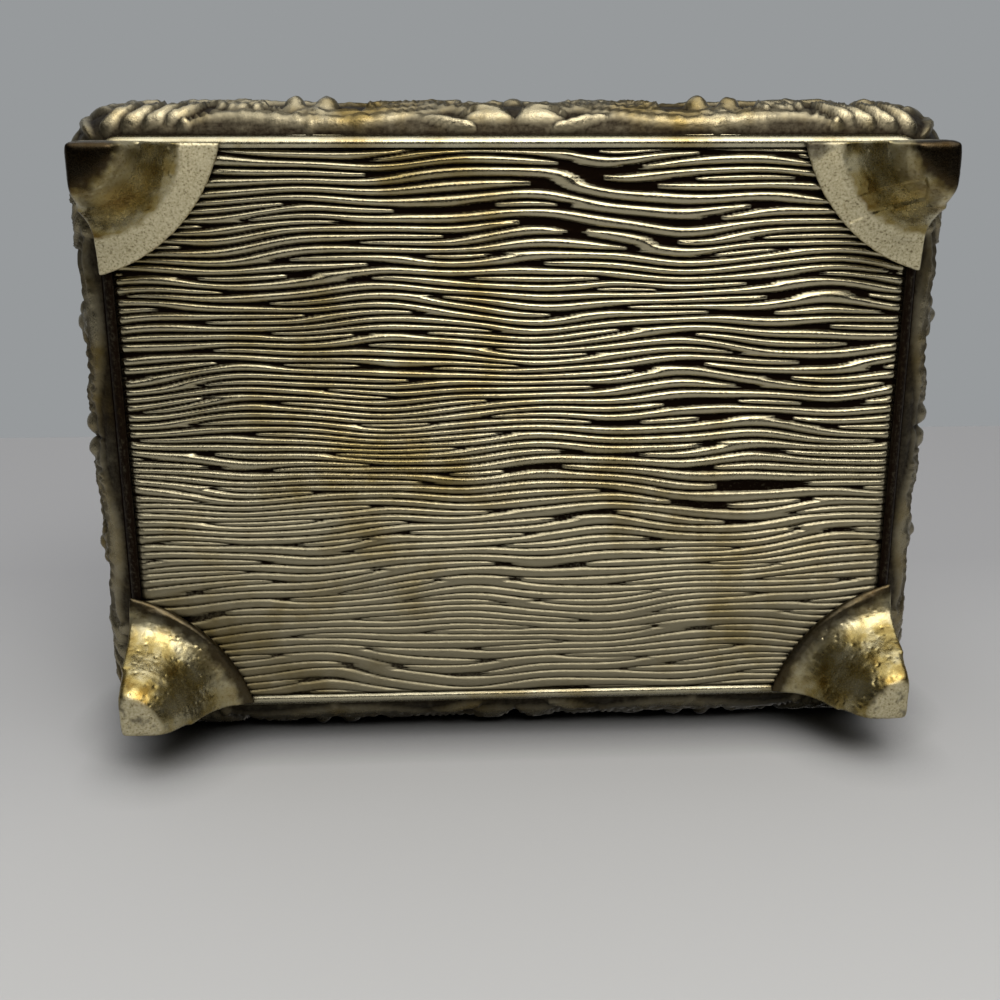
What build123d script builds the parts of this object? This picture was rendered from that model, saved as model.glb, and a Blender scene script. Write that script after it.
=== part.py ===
from build123d import *
import os

# A small cast white-metal stamp box on four corner feet, with a lid hinged at its back.
# Lengths are millimetres. X runs along the box, the front is at -Y and Z is up.
# The origin lies on the ground plane, under the middle of the box.

# Driving sizes of the whole box
base_length = 70.0
base_depth = 50.4
foot_height = 7.4
wall_height = 17.0
lid_height = 11.5

# Wall casting
belly_spread = 3.6
base_corner_radius = 1.6
ground_band_height = 1.1
ground_band_spread = 1.15
plate_ledge = 0.9
rim_bead_height = 1.3
rim_bead_proud = 0.5
roll_bulge = 0.35

# The belly from the ground band up: share of the wall height, share of the belly spread
belly_shares = [
    (0.115, 0.70),
    (0.19, 0.93),
    (0.30, 1.00),
    (0.50, 0.93),
    (0.74, 0.76),
]
rim_spread_share = 0.66

# Cast ornament on the walls and the lid
relief_height = 0.55
ribbon_width = 0.9
leaf_swell_share = 0.45

# Leaves on half of a wall: foot and tip as shares of its half length and of the wall
# height, and their half width as a share of the wall height
wall_leaf_shares = [
    (0.000, 0.36, 0.000, 0.62, 0.050),
    (0.007, 0.12, 0.130, 0.13, 0.030),
    (0.145, 0.33, 0.310, 0.31, 0.060),
    (0.245, 0.56, 0.390, 0.80, 0.075),
    (0.775, 0.63, 0.620, 0.84, 0.072),
]
# Round bosses on half of a wall: middle as shares of its half length and of the wall
# height, and their radius as a share of the wall height
wall_boss_shares = [(0.182, 0.51, 0.135), (0.500, 0.225, 0.080), (0.720, 0.47, 0.150)]
# The ribbon on half of a wall: start, lowest place and end
wall_ribbon_shares = [((0.130, 0.205), (0.440, 0.098), (0.740, 0.150))]
# The leaf that wraps a corner, seen along its diagonal, as shares of the wall height
corner_leaf_shares = [(0.00, 0.72, 0.00, 0.10, 0.095)]
# Ornament on a quarter of the lid: places as shares of its half length and half depth,
# half widths and radii as shares of the lid height
lid_leaf_shares = [
    (0.235, 0.050, 0.535, 0.200, 0.160),
    (0.060, 0.285, 0.170, 0.600, 0.150),
    (0.565, 0.560, 0.880, 0.850, 0.200),
    (0.480, 0.640, 0.330, 0.900, 0.150),
    (0.700, 0.440, 0.940, 0.330, 0.140),
]
lid_boss_shares = [(0.400, 0.420, 0.250), (0.800, 0.150, 0.180)]
lid_rosette_share = 0.30

# Base plate with its combed reeds
plate_thickness = 1.4
plate_gap = 0.1
reed_pitch = 0.95
reed_height = 0.4
reed_margin = 0.35

# Corner feet
foot_overhang_x = 1.0
foot_overhang_y = 0.5
foot_tip_width = 3.9
foot_pad_reach = 11.0
foot_pad_diagonal = 9.9
foot_pad_flat = 2.4
foot_pad_edge = 0.45
foot_pad_rise = 0.35
foot_tip_round = 0.35
foot_corner_round = 0.4
# The two points that draw the cove: shares of its width and of its height
cove_shares = [(0.43, 0.24), (0.40, 0.94)]

# Lid casting
lid_gap = 0.1
lid_wall = 1.7
lid_ledge = 1.0
lid_brim_height = 1.2
hollow_wall_height = 0.6
shoulder_width = 13.5
thumb_lip_width = 9.0
thumb_lip_thickness = 1.1
thumb_lip_round = 0.4

# Hinge at the back
hinge_length = 26.0
hinge_knuckles = 5
knuckle_gap = 0.15
barrel_radius = 1.3
pin_radius = 0.65
pin_clearance = 0.05
leaf_thickness = 0.8
leaf_width = 4.6
leaf_inset = 0.6
leaf_gap = 0.1
barrel_clearance = 0.15
pin_end_round = 0.25

# Linings and compartments
card_thickness = 0.8
lining_thickness = 1.2
lining_gap = 0.15
lining_drop = 0.8
lining_round = 0.3
divider_thickness = 2.0
divider_drop = 2.2
bed_low_height = 1.0
bed_high_height = 9.6
bed_high_land = 4.0
bed_sag_share = 0.16

# One overrun serves every cut that passes a face
cut_overrun = 1.0

# Levels and outlines that follow from the sizes above
rim_level = foot_height + wall_height
plate_level = foot_height + reed_height
floor_level = plate_level + plate_thickness
card_level = floor_level + card_thickness
rim_spread = belly_spread * rim_spread_share
rim_half_length = base_length / 2 + rim_spread
rim_half_depth = base_depth / 2 + rim_spread
pocket_length = base_length - 2 * plate_ledge
pocket_depth = base_depth - 2 * plate_ledge
pocket_corner_radius = base_corner_radius - plate_ledge
lid_level = rim_level + lid_gap
lid_recess_depth = card_thickness + lining_thickness
leaf_face = rim_half_depth - leaf_inset
axis_y = leaf_face + barrel_clearance + barrel_radius
axis_z = rim_level + lid_gap / 2
knuckle_pitch = hinge_length / hinge_knuckles
knuckle_length = knuckle_pitch - knuckle_gap
hinge_reach = axis_y + barrel_radius

os.makedirs("parts", exist_ok=True)


def outline(level, spread):
    """The base outline grown by a spread on every side, as a sketch at a level."""
    with BuildSketch(Plane.XY.offset(level)) as section:
        RectangleRounded(
            base_length + 2 * spread,
            base_depth + 2 * spread,
            base_corner_radius + spread,
        )
    return section.sketch


def save(piece, name):
    """Label a finished piece and write it under its own name."""
    piece.label = name
    export_step(piece, f"parts/{name}.step")
    print(name, round(piece.volume, 1))


def ornament(plane, run, rise, size, leaves, bosses, ribbons):
    """Pointed leaves, round bosses and ribbons on one half of a field."""
    with BuildSketch(plane) as field:
        for foot_u, foot_v, tip_u, tip_v, half_width_share in leaves:
            foot = Vector(foot_u * run, foot_v * rise)
            tip = Vector(tip_u * run, tip_v * rise)
            widest = foot + (tip - foot) * leaf_swell_share
            bow = (tip - foot).normalized().rotate(Axis.Z, 90) * half_width_share * size
            with BuildLine():
                Polyline(foot, widest + bow, tip, widest - bow, close=True)
            make_face()
        for middle_u, middle_v, radius_share in bosses:
            with Locations((middle_u * run, middle_v * rise)):
                Circle(radius_share * size)
        for places in ribbons:
            with BuildLine():
                ThreePointArc([(place_u * run, place_v * rise) for place_u, place_v in places])
            trace(line_width=ribbon_width)
    return field.sketch


# The wall casting: one profile swept round half of the base outline, and mirrored.
# It has a rolled ground band, a low belly and a beaded rim, and inside a straight
# pocket wall over the rebate that holds the base plate.
half_length = base_length / 2
half_depth = base_depth / 2
rebate_height = reed_height + plate_thickness
bead_spread = rim_spread + rim_bead_proud
bead_start = wall_height - rim_bead_height
belly_points = [
    (spread_share * belly_spread, height_share * wall_height)
    for height_share, spread_share in belly_shares
]
profile_plane = Plane(
    origin=(0, -half_depth, foot_height), x_dir=(0, -1, 0), z_dir=(-1, 0, 0)
)

# The ornament of the walls: prisms of the outlines, cut to a skin that follows the belly
front_plane = Plane(origin=(0, 0, foot_height), x_dir=(1, 0, 0), z_dir=(0, -1, 0))
side_plane = Plane(origin=(0, 0, foot_height), x_dir=(0, -1, 0), z_dir=(-1, 0, 0))
corner_plane = Plane(
    origin=(half_length - base_corner_radius, base_corner_radius - half_depth, foot_height),
    x_dir=(1, 1, 0),
    z_dir=(1, -1, 0),
)
skin_points = [(spread + relief_height, level) for spread, level in belly_points]
wall_reach = half_length + 2 * belly_spread
with BuildPart() as wall_skin:
    with BuildLine(Plane.XY.offset(foot_height)):
        FilletPolyline(
            (0, -half_depth),
            (half_length, -half_depth),
            (half_length, 0),
            radius=base_corner_radius,
        )
    with BuildSketch(profile_plane):
        with BuildLine():
            Polyline(
                (rim_spread + relief_height, bead_start),
                *reversed(skin_points),
                (ground_band_spread, ground_band_height),
                (plate_gap, ground_band_height),
                (plate_gap, bead_start),
                close=True,
            )
        make_face()
    sweep()
with BuildPart() as wall_ornament:
    for plane, run, reach in (
        (front_plane, half_length, wall_reach),
        (side_plane, half_depth, -wall_reach),
    ):
        extrude(
            ornament(
                plane,
                run,
                wall_height,
                wall_height,
                wall_leaf_shares,
                wall_boss_shares,
                wall_ribbon_shares,
            ),
            amount=reach,
        )
    extrude(
        ornament(corner_plane, wall_height, wall_height, wall_height, corner_leaf_shares, [], []),
        amount=2 * belly_spread + base_corner_radius,
    )
    add(wall_skin.part, mode=Mode.INTERSECT)
    mirror(about=Plane.XZ)
    mirror(about=Plane.YZ)

with BuildPart() as wall_shell:
    with BuildLine(Plane.XY.offset(foot_height)):
        FilletPolyline(
            (0, -half_depth),
            (half_length, -half_depth),
            (half_length, half_depth),
            (0, half_depth),
            radius=base_corner_radius,
        )
    with BuildSketch(profile_plane):
        with BuildLine():
            ThreePointArc(
                (ground_band_spread - roll_bulge, ground_band_height),
                (ground_band_spread, ground_band_height / 2),
                (ground_band_spread - roll_bulge, 0),
            )
            Polyline(
                (ground_band_spread - roll_bulge, 0),
                (plate_gap, 0),
                (plate_gap, rebate_height),
                (-plate_ledge, rebate_height),
                (-plate_ledge, wall_height),
                (bead_spread - roll_bulge, wall_height),
            )
            ThreePointArc(
                (bead_spread - roll_bulge, wall_height),
                (bead_spread, wall_height - rim_bead_height / 2),
                (bead_spread - roll_bulge, bead_start),
            )
            Line((bead_spread - roll_bulge, bead_start), (rim_spread, bead_start))
            Spline(
                (rim_spread, bead_start),
                *reversed(belly_points),
                (ground_band_spread - roll_bulge, ground_band_height),
            )
        make_face()
    sweep()
    mirror(about=Plane.YZ)
    add(wall_ornament.part)
    with BuildSketch(Plane.XY.offset(rim_level + cut_overrun)):
        with Locations((0, leaf_face + rim_half_depth / 2)):
            Rectangle(hinge_length + 2 * leaf_gap, rim_half_depth)
    extrude(amount=-(leaf_width + leaf_gap + cut_overrun), mode=Mode.SUBTRACT)
save(wall_shell.part, "wall_shell")

# The base plate: a slab whose underside is combed into long half-round reeds
reed_count = int((base_depth - 2 * reed_margin) / reed_pitch)
with BuildPart() as base_plate:
    with BuildSketch(Plane.XY.offset(plate_level)):
        Rectangle(base_length, base_depth)
    extrude(amount=plate_thickness)
    with BuildSketch(Plane.YZ.offset(-base_length / 2 + reed_margin)):
        with Locations((0, plate_level)):
            with GridLocations(reed_pitch, reed_height, reed_count, 1):
                Ellipse(reed_pitch / 2, reed_height)
        with Locations((0, plate_level + plate_thickness / 2)):
            Rectangle(base_depth, plate_thickness, mode=Mode.SUBTRACT)
    extrude(amount=base_length - 2 * reed_margin)
    with BuildSketch(Plane.XY.offset(foot_height)):
        RectangleRounded(base_length, base_depth, base_corner_radius)
    extrude(amount=rebate_height, mode=Mode.INTERSECT)
save(base_plate.part, "base_plate")

# A corner foot: a three-sided pad on the base, and a cove that draws it into a stout leg
# with a square outer corner. The profile turns a quarter about that corner, and a flat
# arc across the corner trims the pad.
foot_corner_x = -(base_length / 2 + foot_overhang_x)
foot_corner_y = -(base_depth / 2 + foot_overhang_y)
pad_flat_radius = foot_pad_reach - foot_pad_flat
pad_edge_level = foot_height - foot_pad_edge
pad_flat_level = pad_edge_level - foot_pad_rise
cove_width = pad_flat_radius - foot_tip_width
cove_points = [
    (foot_tip_width + width_share * cove_width, level_share * pad_flat_level)
    for width_share, level_share in cove_shares
]
foot_plane = Plane(
    origin=(foot_corner_x, foot_corner_y, 0), x_dir=(1, 0, 0), z_dir=(0, -1, 0)
)
with BuildPart() as front_left_foot:
    with BuildSketch(foot_plane):
        with BuildLine():
            Polyline((0, foot_height), (0, 0), (foot_tip_width, 0))
            Bezier(
                (foot_tip_width, 0),
                *cove_points,
                (pad_flat_radius, pad_flat_level),
            )
            Polyline(
                (pad_flat_radius, pad_flat_level),
                (foot_pad_reach, pad_edge_level),
                (foot_pad_reach, foot_height),
                (0, foot_height),
            )
        make_face()
    revolve(
        axis=Axis((foot_corner_x, foot_corner_y, 0), (0, 0, 1)), revolution_arc=90
    )
    with BuildSketch(Plane(origin=(foot_corner_x, foot_corner_y, 0))):
        with BuildLine():
            Polyline((0, foot_pad_reach), (0, 0), (foot_pad_reach, 0))
            ThreePointArc(
                (foot_pad_reach, 0),
                Vector(foot_pad_diagonal, 0).rotate(Axis.Z, 45),
                (0, foot_pad_reach),
            )
        make_face()
    extrude(amount=foot_height, mode=Mode.INTERSECT)
    outer_corner = front_left_foot.edges().filter_by(Axis.Z).sort_by(
        Axis((foot_corner_x, foot_corner_y, 0), (1, 1, 0))
    )[0]
    fillet(outer_corner, foot_corner_round)
    tip_edges = front_left_foot.faces().sort_by(Axis.Z)[0].edges()
    fillet(tip_edges, foot_tip_round)
save(front_left_foot.part, "front_left_foot")

with BuildPart() as front_right_foot:
    mirror(front_left_foot.part, about=Plane.YZ)
save(front_right_foot.part, "front_right_foot")

with BuildPart() as back_left_foot:
    mirror(front_left_foot.part, about=Plane.XZ)
save(back_left_foot.part, "back_left_foot")

with BuildPart() as back_right_foot:
    mirror(front_right_foot.part, about=Plane.XZ)
save(back_right_foot.part, "back_right_foot")

# The lid casting: two arches that cross make a pillow with a quarter-round shoulder on
# every side. It stands on a brim, and a smaller crossing of arches hollows it.
hollow_inset = plate_ledge + lid_ledge + rim_spread
hollow_level = lid_level + lid_recess_depth
hollow_height = lid_height - lid_recess_depth - lid_wall
hollow_shoulder = shoulder_width - lid_wall


def arch(plane, half_width, shoulder, start_height, total_height):
    """An arch with elliptical shoulders and a flat crown, standing on its plane."""
    crown_half = half_width - shoulder
    rise = total_height - start_height
    with BuildSketch(plane) as section:
        with BuildLine():
            EllipticalCenterArc((crown_half, start_height), shoulder, rise, 0, arc_size=90)
            Line((crown_half, total_height), (-crown_half, total_height))
            EllipticalCenterArc((-crown_half, start_height), shoulder, rise, 90, arc_size=90)
            Polyline(
                (-half_width, start_height),
                (-half_width, 0),
                (half_width, 0),
                (half_width, start_height),
            )
        make_face()
    return section.sketch


hollow_half_length = rim_half_length - hollow_inset
hollow_half_depth = rim_half_depth - hollow_inset
long_plane = Plane(origin=(0, 0, hollow_level), x_dir=(0, 1, 0), z_dir=(1, 0, 0))
cross_plane = Plane(origin=(0, 0, hollow_level), x_dir=(1, 0, 0), z_dir=(0, -1, 0))
with BuildPart() as lid_hollow:
    extrude(
        arch(long_plane, hollow_half_depth, hollow_shoulder, hollow_wall_height, hollow_height),
        amount=hollow_half_length,
        both=True,
    )
    extrude(
        arch(cross_plane, hollow_half_length, hollow_shoulder, hollow_wall_height, hollow_height),
        amount=hollow_half_depth,
        both=True,
        mode=Mode.INTERSECT,
    )

long_plane = Plane(origin=(0, 0, lid_level), x_dir=(0, 1, 0), z_dir=(1, 0, 0))
cross_plane = Plane(origin=(0, 0, lid_level), x_dir=(1, 0, 0), z_dir=(0, -1, 0))
skin_shoulder = shoulder_width + relief_height
skin_half_length = rim_half_length + relief_height
skin_half_depth = rim_half_depth + relief_height
skin_height = lid_height + relief_height
with BuildPart() as lid_ornament:
    extrude(
        arch(long_plane, skin_half_depth, skin_shoulder, lid_brim_height, skin_height),
        amount=skin_half_length,
        both=True,
    )
    extrude(
        arch(cross_plane, skin_half_length, skin_shoulder, lid_brim_height, skin_height),
        amount=skin_half_depth,
        both=True,
        mode=Mode.INTERSECT,
    )
    extrude(
        ornament(
            Plane.XY.offset(lid_level + lid_brim_height),
            rim_half_length,
            rim_half_depth,
            lid_height,
            lid_leaf_shares,
            lid_boss_shares,
            [],
        ),
        amount=skin_height,
        mode=Mode.INTERSECT,
    )
    mirror(about=Plane.XZ)
    mirror(about=Plane.YZ)
    with BuildSketch(Plane.XY.offset(lid_level + lid_height)):
        Ellipse(lid_rosette_share * shoulder_width * base_length / base_depth,
                lid_rosette_share * shoulder_width)
    extrude(amount=relief_height)

with BuildPart() as lid_shell:
    extrude(
        arch(long_plane, rim_half_depth, shoulder_width, lid_brim_height, lid_height),
        amount=rim_half_length,
        both=True,
    )
    extrude(
        arch(cross_plane, rim_half_length, shoulder_width, lid_brim_height, lid_height),
        amount=rim_half_depth,
        both=True,
        mode=Mode.INTERSECT,
    )
    extrude(outline(lid_level, rim_spread), amount=lid_height, mode=Mode.INTERSECT)
    add(lid_ornament.part)
    extrude(outline(lid_level, bead_spread), amount=lid_brim_height)
    with BuildSketch(Plane.XY.offset(lid_level)):
        with Locations((0, -rim_half_depth)):
            Ellipse(thumb_lip_width / 2, hinge_reach - rim_half_depth)
    extrude(amount=thumb_lip_thickness)
    lip_edges = lid_shell.faces().sort_by(Axis.Z)[0].outer_wire().edges()
    fillet(lip_edges, thumb_lip_round)
    with BuildSketch(Plane.XY.offset(lid_level)):
        RectangleRounded(pocket_length, pocket_depth, pocket_corner_radius)
    extrude(amount=lid_recess_depth, mode=Mode.SUBTRACT)
    add(lid_hollow.part, mode=Mode.SUBTRACT)
    with BuildSketch(Plane.XY.offset(lid_level - cut_overrun)):
        with Locations((0, leaf_face + rim_half_depth / 2)):
            Rectangle(hinge_length + 2 * leaf_gap, rim_half_depth)
    extrude(amount=leaf_width + leaf_gap + cut_overrun, mode=Mode.SUBTRACT)
save(lid_shell.part, "lid_shell")

# The hinge: two leaves let into the back, rolled into knuckles round one pin
bore_radius = pin_radius + pin_clearance


def hinge_leaf(side, knuckle_numbers):
    """A leaf on one side of the axis: 1 is above it, on the lid, and -1 is below."""
    strap_start = axis_z
    plate_start = axis_z + side * (barrel_radius + knuckle_gap)
    plate_end = axis_z + side * leaf_width
    with BuildPart() as leaf:
        with BuildSketch(Plane.YZ.offset(-hinge_length / 2)):
            with Locations((leaf_face + leaf_thickness / 2, (plate_start + plate_end) / 2)):
                Rectangle(leaf_thickness, abs(plate_end - plate_start))
        extrude(amount=hinge_length)
        for number in knuckle_numbers:
            start = -hinge_length / 2 + number * knuckle_pitch + knuckle_gap / 2
            with BuildSketch(Plane.YZ.offset(start)):
                with Locations((axis_y, axis_z)):
                    Circle(barrel_radius)
                middle = (strap_start + plate_end) / 2
                with Locations((leaf_face + leaf_thickness / 2, middle)):
                    Rectangle(leaf_thickness, abs(plate_end - strap_start))
                with Locations((axis_y, axis_z)):
                    Circle(bore_radius, mode=Mode.SUBTRACT)
            extrude(amount=knuckle_length)
    return leaf.part


save(hinge_leaf(-1, range(0, hinge_knuckles, 2)), "box_hinge_leaf")
save(hinge_leaf(1, range(1, hinge_knuckles, 2)), "lid_hinge_leaf")

with BuildPart() as hinge_pin:
    with BuildSketch(Plane.YZ.offset(-hinge_length / 2)):
        with Locations((axis_y, axis_z)):
            Circle(pin_radius)
    extrude(amount=hinge_length)
    chamfer(hinge_pin.edges().filter_by(GeomType.CIRCLE), pin_end_round)
save(hinge_pin.part, "hinge_pin")

# Card and velvet inside the box. The linings stand on the floor card.
with BuildPart() as floor_card:
    with BuildSketch(Plane.XY.offset(floor_level)):
        RectangleRounded(
            pocket_length - 2 * lining_gap,
            pocket_depth - 2 * lining_gap,
            pocket_corner_radius,
        )
    extrude(amount=card_thickness)
save(floor_card.part, "floor_card")

lining_height = rim_level - lining_drop - card_level
long_lining_length = pocket_length - 2 * (lining_gap + pocket_corner_radius)
long_lining_y = pocket_depth / 2 - lining_gap - lining_thickness / 2
inner_depth = pocket_depth - 2 * (2 * lining_gap + lining_thickness)
short_lining_x = pocket_length / 2 - lining_gap - lining_thickness / 2
inner_length = pocket_length - 2 * (2 * lining_gap + lining_thickness)


def lining(size_x, size_y, centre_x, centre_y, height):
    """An upright padded strip that stands on the floor card, with a softened top."""
    with BuildPart() as strip:
        with BuildSketch(Plane.XY.offset(card_level)):
            with Locations((centre_x, centre_y)):
                Rectangle(size_x, size_y)
        extrude(amount=height)
        fillet(strip.faces().sort_by(Axis.Z)[-1].edges(), lining_round)
    return strip.part


save(
    lining(long_lining_length, lining_thickness, 0, -long_lining_y, lining_height),
    "front_wall_lining",
)
save(
    lining(long_lining_length, lining_thickness, 0, long_lining_y, lining_height),
    "back_wall_lining",
)
save(
    lining(lining_thickness, inner_depth, -short_lining_x, 0, lining_height),
    "left_wall_lining",
)
save(
    lining(lining_thickness, inner_depth, short_lining_x, 0, lining_height),
    "right_wall_lining",
)
divider_height = rim_level - divider_drop - card_level
save(
    lining(divider_thickness, inner_depth, 0, 0, divider_height),
    "compartment_divider",
)

# Two scooped beds. A fingertip drawn forward slides a stamp up the curve to the rim.
bed_length = inner_length / 2 - divider_thickness / 2 - lining_gap
bed_start_x = divider_thickness / 2 + lining_gap
bed_front = -inner_depth / 2
bed_back = inner_depth / 2
bed_curve_front = bed_front + bed_high_land
bed_middle = (bed_curve_front + bed_back) / 2
bed_middle_height = (bed_low_height + bed_high_height) / 2 - bed_sag_share * bed_high_height


def stamp_bed(start_x, name):
    """A velvet-covered bed that rises from the back of a compartment to its front."""
    with BuildPart() as bed:
        with BuildSketch(Plane.YZ.offset(start_x)):
            with BuildLine():
                Polyline(
                    (bed_curve_front, card_level + bed_high_height),
                    (bed_front, card_level + bed_high_height),
                    (bed_front, card_level),
                    (bed_back, card_level),
                    (bed_back, card_level + bed_low_height),
                )
                ThreePointArc(
                    (bed_back, card_level + bed_low_height),
                    (bed_middle, card_level + bed_middle_height),
                    (bed_curve_front, card_level + bed_high_height),
                )
            make_face()
        extrude(amount=bed_length)
    save(bed.part, name)


stamp_bed(-bed_start_x - bed_length, "left_stamp_bed")
stamp_bed(bed_start_x, "right_stamp_bed")

# Card and velvet in the lid, glued against the ledge under its hollow
with BuildPart() as lid_card:
    with BuildSketch(Plane.XY.offset(lid_level + lining_thickness)):
        RectangleRounded(
            pocket_length - 2 * lining_gap,
            pocket_depth - 2 * lining_gap,
            pocket_corner_radius,
        )
    extrude(amount=card_thickness)
save(lid_card.part, "lid_card")

with BuildPart() as lid_lining:
    with BuildSketch(Plane.XY.offset(lid_level + lining_thickness)):
        RectangleRounded(
            pocket_length - 2 * lining_gap,
            pocket_depth - 2 * lining_gap,
            pocket_corner_radius,
        )
    extrude(amount=-lining_thickness)
    fillet(lid_lining.faces().sort_by(Axis.Z)[0].edges(), lining_round)
save(lid_lining.part, "lid_lining")
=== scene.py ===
# %% [markdown]
# A small stamp box of cast white metal, plated with silver. It lies on its back on a
# pale table and shows its combed underside and its four feet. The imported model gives
# the place and the size of every part, so the script loads it first and fits all the
# new pieces to it.

# %% Load the frame
import math
import random

import bmesh
import bpy
import numpy as np
from mathutils import Matrix, Vector, noise


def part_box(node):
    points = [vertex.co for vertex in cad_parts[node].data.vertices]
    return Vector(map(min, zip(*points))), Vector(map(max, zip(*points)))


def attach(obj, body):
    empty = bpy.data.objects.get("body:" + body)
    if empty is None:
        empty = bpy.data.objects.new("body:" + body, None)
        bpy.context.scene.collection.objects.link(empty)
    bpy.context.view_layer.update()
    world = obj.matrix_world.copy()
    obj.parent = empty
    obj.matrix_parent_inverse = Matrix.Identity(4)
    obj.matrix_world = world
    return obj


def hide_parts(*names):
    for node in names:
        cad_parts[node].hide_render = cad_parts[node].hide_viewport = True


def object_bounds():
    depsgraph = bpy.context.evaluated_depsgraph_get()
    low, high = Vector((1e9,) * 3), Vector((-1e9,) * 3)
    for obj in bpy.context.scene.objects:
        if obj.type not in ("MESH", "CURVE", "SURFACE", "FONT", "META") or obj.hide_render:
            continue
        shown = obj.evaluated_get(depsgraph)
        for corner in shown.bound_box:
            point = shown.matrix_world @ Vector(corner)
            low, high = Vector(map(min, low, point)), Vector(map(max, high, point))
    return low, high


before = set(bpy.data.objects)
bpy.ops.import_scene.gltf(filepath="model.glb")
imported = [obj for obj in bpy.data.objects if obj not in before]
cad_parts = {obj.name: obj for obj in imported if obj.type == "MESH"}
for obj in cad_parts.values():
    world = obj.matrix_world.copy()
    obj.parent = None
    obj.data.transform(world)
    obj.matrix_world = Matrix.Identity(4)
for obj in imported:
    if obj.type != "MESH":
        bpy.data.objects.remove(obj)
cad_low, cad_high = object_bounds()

MM = 0.001
print("box in mm", [round(v / MM, 1) for v in cad_high - cad_low])

# %% [markdown]
# Sizes are real millimetres. Those that the frame shows are read from it, and the few
# that it hides, such as the radius of a foot's pad, are named here once.

# %% Sizes of the box
plate_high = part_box("base_plate")[1] / MM
wall_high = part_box("wall_shell")[1] / MM
lid_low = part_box("lid_shell")[0] / MM
foot_low, foot_high = (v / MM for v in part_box("front_right_foot"))
half_length = plate_high.x
half_depth = plate_high.y
foot_height = foot_high.z
rim_level = wall_high.z
reed_height = 0.4
base_corner_radius = 1.6
rim_spread = 2.376
merge_gap = 0.0005
print("base", 2 * half_length, "by", 2 * half_depth, "feet", foot_height, "rim", rim_level)

# %% [markdown]
# A few small helpers serve every piece. Some build a finely divided sheet, close it at its
# rim, write numbers on its points, and turn it from millimetres into an object in metres
# that hangs on its body. The others add shader nodes with their settings.


# %% Helpers
def srgb(code):
    """A hex colour as the linear values that a shader wants."""
    channels = [int(code[i : i + 2], 16) / 255 for i in (1, 3, 5)]
    linear = [c / 12.92 if c <= 0.04045 else ((c + 0.055) / 1.055) ** 2.4 for c in channels]
    return (*linear, 1.0)


def add_node(tree, kind, settings=None, inputs=None):
    """Add a shader node, set its properties, and fill or link its inputs."""
    node = tree.nodes.new(kind)
    for name, value in (settings or {}).items():
        setattr(node, name, value)
    for name, value in (inputs or {}).items():
        if isinstance(value, bpy.types.NodeSocket):
            tree.links.new(value, node.inputs[name])
        else:
            node.inputs[name].default_value = value
    return node


def new_material(name):
    """An empty node material and its tree."""
    material = bpy.data.materials.new(name)
    material.use_nodes = True
    material.node_tree.nodes.clear()
    return material, material.node_tree


def set_ramp(node, stops):
    """Give a colour ramp its stops, each a place and a linear colour."""
    ramp = node.color_ramp
    while len(ramp.elements) > 1:
        ramp.elements.remove(ramp.elements[-1])
    ramp.elements[0].position = stops[0][0]
    ramp.elements[0].color = stops[0][1]
    for place, colour in stops[1:]:
        ramp.elements.new(place).color = colour
    return node


def fine_grid(columns, rows):
    """A flat grid from -1 to 1 as a bmesh, and its points as an array."""
    bm = bmesh.new()
    bmesh.ops.create_grid(bm, x_segments=columns, y_segments=rows, size=1.0)
    return bm, np.array([v.co for v in bm.verts])


def rim_edges(bm):
    """The open edges of a sheet."""
    return [edge for edge in bm.edges if edge.is_boundary]


def drawn_rim(bm):
    """Extrude the open edges of a sheet, and give the new points."""
    drawn = bmesh.ops.extrude_edge_only(bm, edges=rim_edges(bm))["geom"]
    return [part for part in drawn if isinstance(part, bmesh.types.BMVert)]


def write_layer(bm, name, values):
    """Write one number on each point, for a material to read."""
    layer = bm.verts.layers.float.new(name)
    for vert, value in zip(bm.verts, values):
        vert[layer] = value


def make_piece(bm, name, body, material, replaced=()):
    """Turn a bmesh in millimetres into a smooth piece in metres on its body."""
    bmesh.ops.scale(bm, vec=(MM, MM, MM), verts=bm.verts)
    mesh = bpy.data.meshes.new(name)
    bm.to_mesh(mesh)
    bm.free()
    mesh.materials.append(material)
    mesh.polygons.foreach_set("use_smooth", [True] * len(mesh.polygons))
    piece = bpy.data.objects.new(name, mesh)
    bpy.context.scene.collection.objects.link(piece)
    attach(piece, body)
    if replaced:
        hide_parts(*replaced)
    print(name, len(mesh.polygons), "faces")
    return piece
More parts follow.
